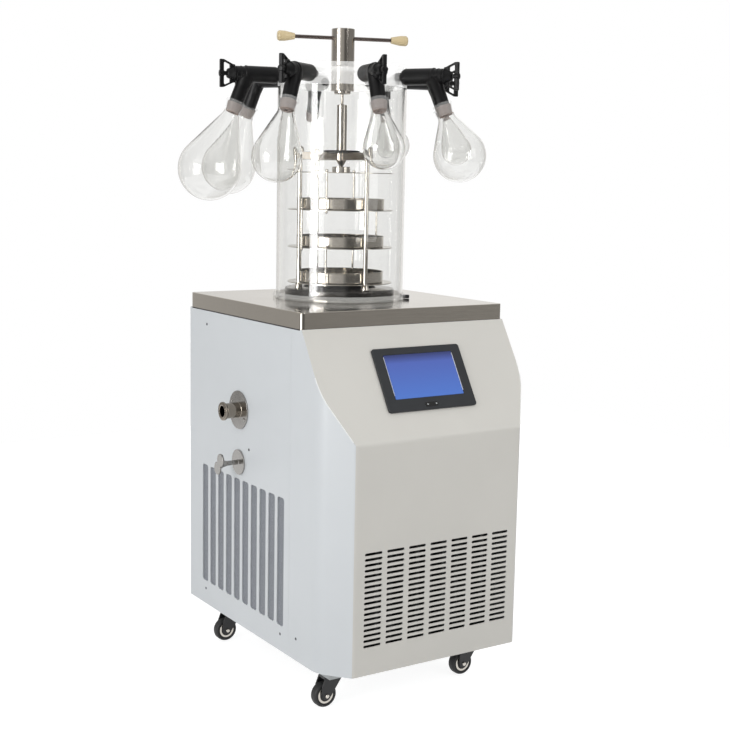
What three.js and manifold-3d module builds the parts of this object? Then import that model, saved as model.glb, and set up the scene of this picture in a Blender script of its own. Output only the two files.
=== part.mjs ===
// Manifold freeze dryer on casters.
//
// A sheet-metal cabinet carries a cold trap under a stainless table. A clear drying
// chamber stands over the trap, with a three-shelf rack and a screw press inside, and a
// lid with eight valves round its rim. Seven of the valves hold a glass flask.
//
// Millimetres, +Z up, floor at z = 0. The operator stands at -Y.

import * as THREE from "three";
import { mergeVertices } from "three/addons/utils/BufferGeometryUtils.js";
import Module from "manifold-3d";

const wasm = await Module();
wasm.setup();

// ---------------------------------------------------------------- driving sizes

// Left between pieces that touch, slide or turn on each other.
const CLEARANCE = 0.3;

const SHEET = 2;

// The middle of the whole plan, flasks and valves included, seen from the table's middle.
const PLAN_MIDDLE = { x: -25, y: -27 };

const COVER = {
  width: 500,
  back: 252,
  seam: -209.5,
  cutIn: -321,
  front: -380,
  frontWidth: 404,
  bottom: 100,
  knee: 564,
  slopeStart: -250,
  foldRadius: 55,
  noseRadius: 12,
  kneeRadius: 22,
  returnFlange: 18,
};

// The table is flush with the side covers.
const TABLE = { width: COVER.width, depth: 495, top: 810, skirt: 33, corner: 8 };

const GRILLE = {
  columns: 7, rows: 18, left: -178, bottom: 157,
  slotLength: 41.5, slotHeight: 5.6, columnPitch: 52.4, rowPitch: 11,
};

const SIDE_VENT = {
  windows: 10, first: -187, pitch: 38.6, width: 27.6, bottom: 154, top: 425.5,
  corner: 4, meshMargin: 8, meshThickness: 1.4,
};

const SCREEN = {
  width: 216, height: 138, corner: 9, proud: 5,
  housingWidth: 196, housingHeight: 118, housingDepth: 34,
  displayWidth: 170, displayHeight: 96, displayUp: 6, displayThickness: 2, recess: 2.8,
  belowTop: 52, portWidth: 26, portHeight: 9, portRise: 1, portMargin: 7,
};

const CHASSIS = {
  railWidth: 25, railSideInset: 45, railFrontInset: 80, railBackInset: 25,
  sheet: 2.4, louvreColumns: 2, louvreRows: 10, louvreWidth: 140, louvreHeight: 6,
  louvrePitchX: 165, louvrePitchZ: 18, louvreBottom: 330,
  inletWidth: 50, inletHeight: 30, inletHole: 22, inletHoleHeight: 16, inletDepth: 14,
  inletX: 150, inletZ: 175,
};

const CASTER = {
  spreadX: 175, frontY: -262, backY: 182, height: 70,
  plate: 54, plateThickness: 2.5, plateCorner: 5, pin: 9, pinRise: 9,
  wheelRadius: 26, wheelWidth: 20, treadEdge: 4, hubRadius: 12, hubWidth: 22, axle: 6,
  trail: 21, forkThickness: 3, headRadius: 19, headThickness: 6,
};

const TRAP = {
  outer: 220, wall: 3, flange: 6, flangeThickness: 1.5, depth: 280,
  coilTurns: 4, coilRadius: 6, coilPitch: 30, coilTop: 60, drainHole: 6,
};

// The cylinder stands on the seal, clear of the trap's flange on all sides.
const CHAMBER = {
  x: 0, y: 15, outer: TRAP.outer + 60, wall: 6, bottom: 4, top: 455,
  sealLip: 7, sealHeight: 12, sealTab: 9, tabDirection: -35,
};
const RIM_RADIUS = CHAMBER.outer / 2;

const LID = {
  top: 500, wall: 11, plate: 10, portHeight: 475.5,
  bushRadius: 25, collarRadius: 18, collarDrop: 14,
};

// The rack's base ring stands on the trap's flange, and the rest keeps within its edge.
const RACK_EDGE = TRAP.outer / 2 + 11;
const RACK = {
  baseRadius: RACK_EDGE, baseHeight: 22, plate: 4, mouthRadius: RACK_EDGE - 41,
  postRadius: 5, postCircle: RACK_EDGE - 18, footRadius: 9,
  bridgeBottom: 300, bridgeThickness: 16, armWidth: 16, guideRadius: 39.5, guideThickness: 5,
  nutRadius: 7, nutHeight: 13,
  plateRadius: RACK_EDGE - 6, plateThickness: 1.8, shelfHeights: [34, 111, 192], pressHeight: 272,
  trayRadius: RACK_EDGE - 25, trayHeight: 23, trayWall: 1.6,
  linkRadius: 2.3, linkBall: 3.4, linkCircle: RACK_EDGE - 14,
};

// Directions of the three rack posts; the fourth side stays open for the trays.
const POST_DIRECTIONS = [-90, 180, 90];

// Directions of the two hanger rods under each plate, from the press plate down.
const LINK_DIRECTIONS = [[-138, 42], [8, -172], [-138, 42]];

const PRESS = {
  ramRadius: 11, ramTop: 420, tipRadius: 3.5, tipHeight: 12,
  rodRadius: 3, cupRadius: 20, cupHeight: 14,
  hubRadius: 25, hubHeight: 79.5, hubCap: 8, barHeight: 60, barRadius: 4, barLength: 288, barTurn: -19,
  gripLength: 36, gripRadius: 11, gripNeck: 7,
};

const VALVE = {
  count: 8, firstDirection: -14, spigotRadius: 9, bootRadius: 17.5, bootStart: 1, bodyEnd: RIM_RADIUS + 97,
  collarStart: RIM_RADIUS + 77, endRadius: 16, legAt: RIM_RADIUS + 72, legTilt: 22,
  legRadius: 15.5, legLength: 66,
  plugRadius: 8, plugDepth: 40, passage: 5,
  stopperLength: 22, knobLength: 34, knobCollar: 19, wingHeight: 29, wingThickness: 6,
};

// Flask bulb diameter and the distance from the leg's end to the bulb's centre, for each
// valve in turn; the valve without an entry has no flask.
const FLASKS = [
  { bulb: 76, reach: 90 },
  { bulb: 80, reach: 80 },
  null,
  { bulb: 124, reach: 142 },
  { bulb: 134, reach: 149 },
  { bulb: 102, reach: 122 },
  { bulb: 86, reach: 99 },
  { bulb: 111, reach: 110 },
];
const FLASK = { wall: 2.2, mouthRadius: 20.5, neckRadius: 16.6, neckAt: 24, bulbSteps: 5 };

const VACUUM_PORT = { y: 11, z: TABLE.top - 233, discRadius: 41.5, disc: 3, tube: 14, bore: 12,
  length: 40, rim: 20, rimWidth: 4 };
const DRAIN_PORT = {
  y: 11, z: TABLE.top - TRAP.depth - 67, discRadius: 27.5, disc: 3, stem: 5, stemLength: 14, tube: 7,
  handleAt: 45, lobe: 14, lobeOffset: 12, handleThickness: 4, handleTilt: 35, neckRadius: 11,
};

const CONDENSER = { width: 340, height: 280, thickness: 50, frontGap: 26, fins: 10, finGap: 24,
  frame: 12, plate: 4 };
const COMPRESSOR = { radius: 74, height: 180, x: 70, y: 90 };
const FAN = { radius: 108, hub: 27, hubDepth: 20, blades: 5, bladeChord: 62, bladeTilt: 32, shaft: 4,
  motorRadius: 36, motorLength: 52, gap: 12 };

// ---------------------------------------------------------------- shape helpers

const mm = (x, y) => new THREE.Vector2(x, y);
const radians = THREE.MathUtils.degToRad;

// A closed geometry as a solid: shared vertices merged, empty triangles left out, and the
// faces turned outwards.
function solid(geometry) {
  const bare = geometry.index ? geometry.toNonIndexed() : geometry.clone();
  bare.deleteAttribute("normal");
  bare.deleteAttribute("uv");
  const merged = mergeVertices(bare, 1e-4);
  const places = merged.attributes.position;
  const corner = [new THREE.Vector3(), new THREE.Vector3(), new THREE.Vector3()];
  const triangles = [];
  let volume = 0;
  for (let i = 0; i < merged.index.count; i += 3) {
    const [a, b, c] = [0, 1, 2].map((k) => merged.index.getX(i + k));
    if (a === b || b === c || c === a) continue;
    triangles.push(a, b, c);
    [a, b, c].forEach((vertex, k) => corner[k].fromBufferAttribute(places, vertex));
    volume += corner[0].dot(corner[1].clone().cross(corner[2]));
  }
  if (volume < 0) triangles.reverse();
  return new wasm.Manifold(new wasm.Mesh({
    numProp: 3,
    vertProperties: new Float32Array(places.array),
    triVerts: new Uint32Array(triangles),
  }));
}

function geometryOf(body) {
  const mesh = body.getMesh();
  const geometry = new THREE.BufferGeometry();
  geometry.setAttribute("position", new THREE.BufferAttribute(mesh.vertProperties, 3));
  geometry.setIndex(new THREE.BufferAttribute(mesh.triVerts, 1));
  return geometry;
}

const join = (first, ...others) => others.reduce((whole, other) => whole.add(other), first);
const cut = (first, ...others) => others.reduce((rest, other) => rest.subtract(other), first);

// A closed shape whose corners are rounded by one radius, or by one radius for each corner.
function rounded(corners, radius) {
  const shape = new THREE.Shape();
  corners.forEach((corner, i) => {
    const bend = Array.isArray(radius) ? radius[i] : radius;
    const before = corners.at(i - 1).clone().sub(corner).normalize();
    const after = corners[(i + 1) % corners.length].clone().sub(corner).normalize();
    const reach = bend / Math.tan(before.angleTo(after) / 2);
    const start = before.multiplyScalar(reach).add(corner);
    const end = after.multiplyScalar(reach).add(corner);
    if (i === 0) shape.moveTo(start.x, start.y);
    else shape.lineTo(start.x, start.y);
    if (bend > 0) shape.quadraticCurveTo(corner.x, corner.y, end.x, end.y);
  });
  shape.closePath();
  return shape;
}

function rectangle(x0, y0, x1, y1, radius = 0) {
  return rounded([mm(x0, y0), mm(x1, y0), mm(x1, y1), mm(x0, y1)], radius);
}

const centredRectangle = (width, height, radius) =>
  rectangle(-width / 2, -height / 2, width / 2, height / 2, radius);

// Moves every side of a convex outline inwards by the same distance.
function inset(corners, distance) {
  const sides = corners.map((from, i) => {
    const along = corners[(i + 1) % corners.length].clone().sub(from).normalize();
    const inward = mm(-along.y, along.x).multiplyScalar(distance);
    return { point: from.clone().add(inward), along };
  });
  return sides.map((side, i) => {
    const last = sides.at(i - 1);
    const step = side.point.clone().sub(last.point).cross(side.along) / last.along.cross(side.along);
    return last.point.clone().addScaledVector(last.along, step);
  });
}

// Extrusions of shapes drawn in plan (x, y), from the side (y, z) or from the front (x, z).
const VIEW_AXES = {
  plan: [[1, 0, 0], [0, 1, 0], [0, 0, 1]],
  side: [[0, 1, 0], [0, 0, 1], [1, 0, 0]],
  front: [[1, 0, 0], [0, 0, 1], [0, -1, 0]],
};

function extrude(shape, view, from, to, curveSegments = 3) {
  const geometry = new THREE.ExtrudeGeometry(shape,
    { depth: to - from, bevelEnabled: false, curveSegments });
  const axes = VIEW_AXES[view].map((axis) => new THREE.Vector3(...axis));
  geometry.applyMatrix4(new THREE.Matrix4().makeBasis(...axes));
  const start = { plan: [0, 0, from], side: [from, 0, 0], front: [0, to, 0] }[view];
  return geometry.translate(...start);
}

function box(x0, x1, y0, y1, z0, z1) {
  return new THREE.BoxGeometry(x1 - x0, y1 - y0, z1 - z0)
    .translate((x0 + x1) / 2, (y0 + y1) / 2, (z0 + z1) / 2);
}

// A body of revolution about +Z from [radius, height] pairs that go once round the section.
function turned(profile, segments = 32) {
  const points = profile.map(([radius, height]) => mm(radius, height));
  if (!points[0].equals(points.at(-1))) points.push(points[0].clone());
  return new THREE.LatheGeometry(points, segments).rotateX(Math.PI / 2);
}

// The same about +X, with the heights along X.
const turnedAlongX = (profile, segments) => turned(profile, segments).rotateY(Math.PI / 2);

function rod(radius, from, to, segments = 16) {
  return turned([[0, from], [radius, from], [radius, to], [0, to]], segments);
}

const rodAlongX = (radius, from, to, segments) => rod(radius, from, to, segments).rotateY(Math.PI / 2);
const rodAlongY = (radius, from, to, segments) => rod(radius, from, to, segments).rotateX(-Math.PI / 2);

// The radius of a faceted hole whose flats clear a faceted shaft of the given radius.
const runningHole = (radius, segments) => (radius + CLEARANCE) / Math.cos(Math.PI / segments);

// Points [radius, height] of an arc about a centre on the axis, from one angle to another,
// both measured from the downward axis.
function arc(radius, centre, from, to, steps) {
  return Array.from({ length: steps + 1 }, (_, i) => {
    const angle = from + ((to - from) * i) / steps;
    return [radius * Math.sin(angle), centre - radius * Math.cos(angle)];
  });
}

// ---------------------------------------------------------------- materials

function material(color, roughness, metalness, opacity = 1) {
  return new THREE.MeshStandardMaterial({ color, roughness, metalness, opacity, transparent: opacity < 1 });
}

const FINISH = {
  sidePaint: () => material(0xcfd3d6, 0.45, 0),
  frontPaint: () => material(0xcbcac5, 0.42, 0),
  brushedSteel: () => material(0xb9b4aa, 0.35, 1),
  darkSteel: () => material(0x4a4846, 0.3, 1),
  galvanised: () => material(0x9a9c9c, 0.5, 1),
  mesh: () => material(0x8c8f94, 0.6, 0.6),
  blackPlastic: () => material(0x151515, 0.45, 0),
  bezelPlastic: () => material(0x464b4e, 0.5, 0),
  screenBlue: () => material(0x4b69b9, 0.2, 0),
  rubber: () => material(0x1d1d1d, 0.8, 0),
  acrylic: () => material(0xf4f6f6, 0.05, 0, 0.25),
  frosted: () => material(0xeceeee, 0.3, 0, 0.6),
  glass: () => material(0xf2f5f5, 0.03, 0, 0.25),
};

const machine = new THREE.Group();
machine.position.set(-PLAN_MIDDLE.x, -PLAN_MIDDLE.y, 0);

function add(parent, name, body, finish) {
  const mesh = new THREE.Mesh(geometryOf(body.isBufferGeometry ? solid(body) : body), finish());
  mesh.name = name;
  parent.add(mesh);
}

// ---------------------------------------------------------------- cabinet covers

const coverTop = TABLE.top - TABLE.skirt - CLEARANCE;
const sideX = COVER.width / 2;
const frontX = COVER.frontWidth / 2;

const frontPlan = [
  mm(-sideX, COVER.seam), mm(-sideX, COVER.cutIn), mm(-frontX, COVER.front),
  mm(frontX, COVER.front), mm(sideX, COVER.cutIn), mm(sideX, COVER.seam),
];
const frontProfile = [
  mm(COVER.seam, COVER.bottom), mm(COVER.seam, coverTop), mm(COVER.slopeStart, coverTop),
  mm(COVER.front, COVER.knee), mm(COVER.front, COVER.bottom),
];

// The solid inside the front cover's skin, at a depth below it. The plan and the side
// profile cross each other, so the folds at the corners and the knee are both rounded. Past
// the skin it runs on through the open back, top and bottom.
function frontBlock(depth, overrun) {
  const plan = inset(frontPlan, depth);
  plan[0].y = COVER.seam + overrun;
  plan[5].y = COVER.seam + overrun;
  const profile = inset(frontProfile, depth);
  const rise = (coverTop + overrun - profile[3].y) / (profile[2].y - profile[3].y);
  profile[2].sub(profile[3]).multiplyScalar(rise).add(profile[3]);
  profile[0].set(COVER.seam + overrun, COVER.bottom - overrun);
  profile[1].set(COVER.seam + overrun, coverTop + overrun);
  profile[4].y = COVER.bottom - overrun;
  const fold = COVER.foldRadius - depth;
  const nose = COVER.noseRadius - depth;
  const planShape = rounded(plan, [0, fold, nose, nose, fold, 0]);
  const profileShape = rounded(profile, [0, 0, 0, COVER.kneeRadius - depth, 0]);
  return solid(extrude(planShape, "plan", COVER.bottom - overrun, coverTop + overrun, 5))
    .intersect(solid(extrude(profileShape, "side", -sideX, sideX, 4)));
}

// The screen's own frame: +Y up the slope, +Z out of it, origin at the bezel's middle.
const slopeUp = frontProfile[2].clone().sub(frontProfile[3]);
const screenGroup = new THREE.Group();
const screenCentre = frontProfile[2].clone()
  .addScaledVector(slopeUp.clone().normalize(), -SCREEN.belowTop - SCREEN.height / 2);
screenGroup.position.set(0, screenCentre.x, screenCentre.y);
screenGroup.rotation.x = slopeUp.angle();
screenGroup.updateMatrix();
machine.add(screenGroup);

function buildFrontPanel() {
  const slots = [];
  for (let column = 0; column < GRILLE.columns; column += 1) {
    for (let row = 0; row < GRILLE.rows; row += 1) {
      const x = GRILLE.left + column * GRILLE.columnPitch;
      const z = GRILLE.bottom + row * GRILLE.rowPitch;
      slots.push(rectangle(x, z, x + GRILLE.slotLength, z + GRILLE.slotHeight));
    }
  }
  const slotCut = extrude(slots, "front", COVER.front - SHEET, COVER.front + 2 * SHEET, 1);
  const screenHole = extrude(
    centredRectangle(SCREEN.housingWidth + 2 * CLEARANCE, SCREEN.housingHeight + 2 * CLEARANCE),
    "plan", -2 * SHEET, SHEET,
  ).applyMatrix4(screenGroup.matrix);
  return cut(frontBlock(0, 0), frontBlock(SHEET, SHEET), solid(slotCut), solid(screenHole));
}

function ventWindows() {
  return Array.from({ length: SIDE_VENT.windows }, (_, i) => {
    const y = SIDE_VENT.first + i * SIDE_VENT.pitch;
    return rectangle(y, SIDE_VENT.bottom, y + SIDE_VENT.width, SIDE_VENT.top, SIDE_VENT.corner);
  });
}

// A flat side with its rear edge folded round the corner; drawn on the left, mirrored by
// the caller's x for the right.
function sidePanel(direction) {
  const outer = direction * sideX;
  const inner = direction * (sideX - SHEET);
  const [low, high] = [Math.min(outer, inner), Math.max(outer, inner)];
  const foldEnd = direction * (sideX - COVER.returnFlange);
  const skin = rectangle(COVER.seam + CLEARANCE, COVER.bottom, COVER.back, coverTop);
  const flange = box(
    Math.min(outer, foldEnd), Math.max(outer, foldEnd),
    COVER.back - SHEET, COVER.back, COVER.bottom, coverTop,
  );
  return join(solid(extrude(skin, "side", low, high)), solid(flange));
}

function buildLeftPanel() {
  const pipeHole = ({ tube, y, z }) => rodAlongX(runningHole(tube, 20), -sideX - SHEET,
    -sideX + 2 * SHEET, 20)
    .translate(0, y, z);
  return cut(
    sidePanel(-1),
    solid(extrude(ventWindows(), "side", -sideX - SHEET, -sideX + 2 * SHEET, 1)),
    solid(pipeHole(VACUUM_PORT)),
    solid(pipeHole(DRAIN_PORT)),
  );
}

function buildVentMesh() {
  const { first, pitch, windows, width, bottom, top, meshMargin, meshThickness } = SIDE_VENT;
  const x = -sideX + SHEET + CLEARANCE;
  const last = first + (windows - 1) * pitch + width;
  return box(x, x + meshThickness, first - meshMargin, last + meshMargin, bottom - meshMargin,
    top + meshMargin);
}

add(machine, "front_panel", buildFrontPanel(), FINISH.frontPaint);
add(machine, "left_side_panel", buildLeftPanel(), FINISH.sidePaint);
add(machine, "right_side_panel", sidePanel(1), FINISH.sidePaint);
add(machine, "left_vent_mesh", buildVentMesh(), FINISH.mesh);

// ---------------------------------------------------------------- touch screen

function buildBezel() {
  const face = extrude(centredRectangle(SCREEN.width, SCREEN.height, SCREEN.corner), "plan", CLEARANCE,
    SCREEN.proud);
  const housing = extrude(
    centredRectangle(SCREEN.housingWidth, SCREEN.housingHeight),
    "plan", -SCREEN.housingDepth, SCREEN.proud / 2,
  );
  const window = extrude(
    centredRectangle(SCREEN.displayWidth, SCREEN.displayHeight),
    "plan", SCREEN.proud - SCREEN.recess, SCREEN.proud + 1,
  ).translate(0, SCREEN.displayUp, 0);
  const cover = extrude(
    centredRectangle(SCREEN.portWidth, SCREEN.portHeight, SCREEN.portHeight / 3),
    "plan", SCREEN.proud / 2, SCREEN.proud + SCREEN.portRise,
  ).translate(0, (SCREEN.portHeight + SCREEN.portMargin - SCREEN.height) / 2 + SCREEN.portMargin / 2, 0);
  return cut(join(solid(face), solid(housing), solid(cover)), solid(window));
}

function buildDisplay() {
  const gap = 2 * CLEARANCE;
  const floor = SCREEN.proud - SCREEN.recess + CLEARANCE;
  return extrude(
    centredRectangle(SCREEN.displayWidth - gap,
      SCREEN.displayHeight - gap), "plan", floor, floor + SCREEN.displayThickness,
  ).translate(0, SCREEN.displayUp, 0);
}

add(screenGroup, "screen_bezel", buildBezel(), FINISH.bezelPlastic);
add(screenGroup, "display", buildDisplay(), FINISH.screenBlue);

// ---------------------------------------------------------------- chassis and casters

const casterPlaces = [
  { name: "front_left", x: -CASTER.spreadX, y: CASTER.frontY },
  { name: "front_right", x: CASTER.spreadX, y: CASTER.frontY },
  { name: "rear_left", x: -CASTER.spreadX, y: CASTER.backY },
  { name: "rear_right", x: CASTER.spreadX, y: CASTER.backY },
];

// Pan under the covers, a hollow rail frame below it with the four caster plates, and the
// back wall folded up behind, with its louvres and the power inlet.
function buildChassis() {
  const panGap = SHEET + CLEARANCE;
  const fold = COVER.foldRadius - SHEET;
  const nose = COVER.noseRadius - SHEET;
  const pan = inset([
    mm(-sideX, COVER.back), mm(-sideX, COVER.cutIn), mm(-frontX, COVER.front),
    mm(frontX, COVER.front), mm(sideX, COVER.cutIn), mm(sideX, COVER.back),
  ], panGap);
  const panTop = COVER.bottom + CHASSIS.sheet;
  const backY = COVER.back - panGap;
  const parts = [
    solid(extrude(rounded(pan, [0, fold, nose, nose, fold, 0]), "plan", COVER.bottom, panTop, 5)),
    solid(box(-sideX + panGap, sideX - panGap, backY - SHEET, backY, COVER.bottom, coverTop - CLEARANCE)),
  ];
  const rails = solid(box(
    -sideX + CHASSIS.railSideInset, sideX - CHASSIS.railSideInset,
    COVER.front + CHASSIS.railFrontInset, COVER.back - CHASSIS.railBackInset,
    CASTER.height, COVER.bottom,
  ));
  const wide = CHASSIS.railWidth;
  const inside = solid(box(
    -sideX + CHASSIS.railSideInset + wide, sideX - CHASSIS.railSideInset - wide,
    COVER.front + CHASSIS.railFrontInset + wide, COVER.back - CHASSIS.railBackInset - wide,
    CASTER.height - 1, COVER.bottom + 1,
  ));
  parts.push(rails.subtract(inside));
  for (const { x, y } of casterPlaces) {
    const plate = centredRectangle(CASTER.plate, CASTER.plate, CASTER.plateCorner);
    parts.push(solid(
      extrude(plate, "plan", CASTER.height - CASTER.plateThickness,
        CASTER.height + CASTER.plateThickness, 1)
        .translate(x, y, 0),
    ));
  }
  const inlet = solid(extrude(
    centredRectangle(CHASSIS.inletWidth, CHASSIS.inletHeight, 3), "front",
    backY - CHASSIS.inletDepth, backY + SHEET, 2,
  ).translate(CHASSIS.inletX, 0, CHASSIS.inletZ));
  const socket = solid(extrude(
    centredRectangle(CHASSIS.inletHole, CHASSIS.inletHoleHeight, 2), "front",
    backY - CHASSIS.inletDepth + SHEET, backY + 2 * SHEET, 1,
  ).translate(CHASSIS.inletX, 0, CHASSIS.inletZ));
  const louvres = [];
  for (let column = 0; column < CHASSIS.louvreColumns; column += 1) {
    for (let row = 0; row < CHASSIS.louvreRows; row += 1) {
      const x = (column - (CHASSIS.louvreColumns - 1) / 2) * CHASSIS.louvrePitchX - CHASSIS.louvreWidth / 2;
      const z = CHASSIS.louvreBottom + row * CHASSIS.louvrePitchZ;
      louvres.push(rectangle(x, z, x + CHASSIS.louvreWidth, z + CHASSIS.louvreHeight));
    }
  }
  const pins = casterPlaces.map(({ x, y }) => solid(
    rod(runningHole(CASTER.pin / 2, 8), CASTER.height - 2 * CASTER.plateThickness,
      COVER.bottom - CHASSIS.sheet, 8)
      .translate(x, y, 0),
  ));
  return cut(join(...parts, inlet), socket,
    solid(extrude(louvres, "front", backY - 2 * SHEET, backY + SHEET)), ...pins);
}

// Swivel fork in its own frame: the swivel pin on the axis, the wheel trailing along -X.
function buildFork() {
  const top = CASTER.height - CASTER.plateThickness - CLEARANCE;
  const legInner = CASTER.hubWidth / 2 + CLEARANCE;
  const legOuter = legInner + CASTER.forkThickness;
  const headBottom = top - CASTER.headThickness;
  const leg = new THREE.Shape([
    mm(CASTER.headRadius - 3, headBottom), mm(CASTER.headRadius - 3, top - 1),
    mm(-CASTER.headRadius - 6, top - 1), mm(-CASTER.trail - 9, CASTER.wheelRadius),
    mm(-CASTER.trail, CASTER.wheelRadius - 8), mm(-CASTER.trail + 9, CASTER.wheelRadius),
  ]);
  const parts = [
    solid(rod(CASTER.headRadius, headBottom, top, 12)),
    solid(rod(CASTER.pin / 2, headBottom, top + CASTER.pinRise, 8)),
    solid(box(-CASTER.headRadius - 6, CASTER.headRadius - 3, -legOuter, legOuter, headBottom, top - 1)),
    solid(extrude(leg, "front", legInner, legOuter)),
    solid(extrude(leg, "front", -legOuter, -legInner)),
    solid(rodAlongY(CASTER.axle / 2, -legOuter - 1.5, legOuter + 1.5, 8).translate(-CASTER.trail, 0,
      CASTER.wheelRadius)),
  ];
  return join(...parts);
}

function buildWheel() {
  const { wheelRadius, wheelWidth, treadEdge, hubRadius, hubWidth } = CASTER;
  const bore = runningHole(CASTER.axle / 2, 16);
  const half = wheelWidth / 2;
  return turned([
    [bore, -hubWidth / 2], [hubRadius, -hubWidth / 2], [wheelRadius - treadEdge / 2, -half],
    [wheelRadius, -half + treadEdge], [wheelRadius, half - treadEdge], [wheelRadius - treadEdge / 2, half],
    [hubRadius, hubWidth / 2], [bore, hubWidth / 2],
  ], 16).rotateX(-Math.PI / 2);
}

add(machine, "chassis", buildChassis(), FINISH.galvanised);
for (const { name, x, y } of casterPlaces) {
  const caster = new THREE.Group();
  caster.position.set(x, y, 0);
  machine.add(caster);
  add(caster, `caster_fork_${name}`, buildFork(), FINISH.blackPlastic);
  add(caster, `caster_wheel_${name}`, buildWheel().translate(-CASTER.trail, 0, CASTER.wheelRadius),
    FINISH.rubber);
}

// ---------------------------------------------------------------- table and cold trap

const chamber = new THREE.Group();
chamber.position.set(CHAMBER.x, CHAMBER.y, TABLE.top);
machine.add(chamber);

// The trap hangs by its flange in the table's round opening.
function buildTable() {
  const outline = centredRectangle(TABLE.width, TABLE.depth, TABLE.corner);
  const hollow = centredRectangle(TABLE.width - 2 * SHEET, TABLE.depth - 2 * SHEET, TABLE.corner - SHEET);
  const opening = rod(TRAP.outer / 2 + 2 * CLEARANCE, TABLE.top - TABLE.skirt, TABLE.top + 1, 36)
    .translate(CHAMBER.x, CHAMBER.y, 0);
  return cut(
    solid(extrude(outline, "plan", TABLE.top - TABLE.skirt, TABLE.top)),
    solid(extrude(hollow, "plan", TABLE.top - TABLE.skirt - 1, TABLE.top - SHEET)),
    solid(opening),
  );
}

// A deep pot with the evaporator tube wound round it in ridges.
function buildColdTrap() {
  const outer = TRAP.outer / 2;
  const inner = outer - TRAP.wall;
  const flangeTop = CLEARANCE + TRAP.flangeThickness;
  const section = [[0, -TRAP.depth], [outer, -TRAP.depth]];
  for (let turn = TRAP.coilTurns - 1; turn >= 0; turn -= 1) {
    const height = -TRAP.coilTop - turn * TRAP.coilPitch;
    section.push([outer, height - TRAP.coilRadius]);
    section.push([outer + TRAP.coilRadius, height]);
    section.push([outer, height + TRAP.coilRadius]);
  }
  section.push(
    [outer, CLEARANCE], [outer + TRAP.flange, CLEARANCE], [outer + TRAP.flange, flangeTop],
    [inner, flangeTop], [inner, TRAP.wall - TRAP.depth], [0, TRAP.wall - TRAP.depth],
  );
  const drain = rod(TRAP.drainHole, -TRAP.depth - 1, TRAP.wall - TRAP.depth + 1, 8)
    .translate(0, DRAIN_PORT.y - CHAMBER.y, 0);
  const outlet = rodAlongX(VACUUM_PORT.bore, -outer - TRAP.wall, -inner / 2, 8)
    .translate(0, VACUUM_PORT.y - CHAMBER.y, VACUUM_PORT.z - TABLE.top);
  return cut(solid(turned(section, 24)), solid(drain), solid(outlet));
}

add(machine, "table_top", buildTable(), FINISH.brushedSteel);
add(chamber, "cold_trap", buildColdTrap(), FINISH.brushedSteel);

// ---------------------------------------------------------------- side ports

// Wall disc, a tube that ends in a clamp flange, and the pipe inside as far as the trap.
function buildVacuumPort() {
  const { discRadius, disc, tube, bore, length, rim, rimWidth, y, z } = VACUUM_PORT;
  const wall = -sideX - CLEARANCE;
  const end = wall - length;
  const trapWall = CHAMBER.x - TRAP.outer / 2 - CLEARANCE;
  return turnedAlongX([
    [bore, end], [rim, end], [rim, end + rimWidth], [tube, end + rimWidth],
    [tube, wall - disc], [discRadius, wall - disc], [discRadius, wall], [tube, wall], [tube, trapWall],
    [bore, trapWall],
  ], 16).translate(0, y, z);
}

// Wall disc and stem, and the pipe inside that comes down from the trap's floor.
function buildDrainPort() {
  const { discRadius, disc, stem, stemLength, tube, y, z } = DRAIN_PORT;
  const wall = -sideX - CLEARANCE;
  const trapFloor = TABLE.top - TRAP.depth - CLEARANCE;
  const flange = turnedAlongX([
    [0, wall - disc - stemLength], [stem, wall - disc - stemLength], [stem, wall - disc],
    [discRadius, wall - disc], [discRadius, wall], [0, wall],
  ], 20).translate(0, y, z);
  const run = rodAlongX(tube, wall - disc / 2, CHAMBER.x, 8).translate(0, y, z);
  const rise = rod(tube, z, trapFloor, 8).translate(CHAMBER.x, y, 0);
  const elbow = new THREE.SphereGeometry(tube * 1.15, 8, 6).translate(CHAMBER.x, y, z);
  return join(solid(flange), solid(run), solid(rise), solid(elbow));
}

// Two-lobed handle on a flared neck that turns on the end of the drain stem.
function buildDrainHandle() {
  const { disc, stem, stemLength, handleAt, lobe, lobeOffset, handleThickness, neckRadius,
    handleTilt } = DRAIN_PORT;
  const stemEnd = -sideX - CLEARANCE - disc - stemLength;
  const back = -sideX - CLEARANCE - handleAt;
  const front = back - handleThickness;
  const neck = turnedAlongX([
    [0, front + 1], [neckRadius, back], [stem + 2, (back + stemEnd) / 2], [stem,
      stemEnd - CLEARANCE], [0, stemEnd - CLEARANCE],
  ], 10);
  const lobes = [-1, 1].map((end) => solid(
    rodAlongX(lobe, front, back, 14).translate(0, 0, end * lobeOffset),
  ));
  const waist = solid(box(front, back, -lobe * 0.7, lobe * 0.7, -lobeOffset, lobeOffset));
  return join(solid(neck), ...lobes, waist).rotate([handleTilt, 0, 0]).translate([0, DRAIN_PORT.y,
    DRAIN_PORT.z]);
}

add(machine, "vacuum_port", buildVacuumPort(), FINISH.brushedSteel);
add(machine, "drain_port", buildDrainPort(), FINISH.brushedSteel);
add(machine, "drain_handle", buildDrainHandle(), FINISH.brushedSteel);

// ---------------------------------------------------------------- refrigeration

const unitFloor = COVER.bottom + CHASSIS.sheet + CLEARANCE;

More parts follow.
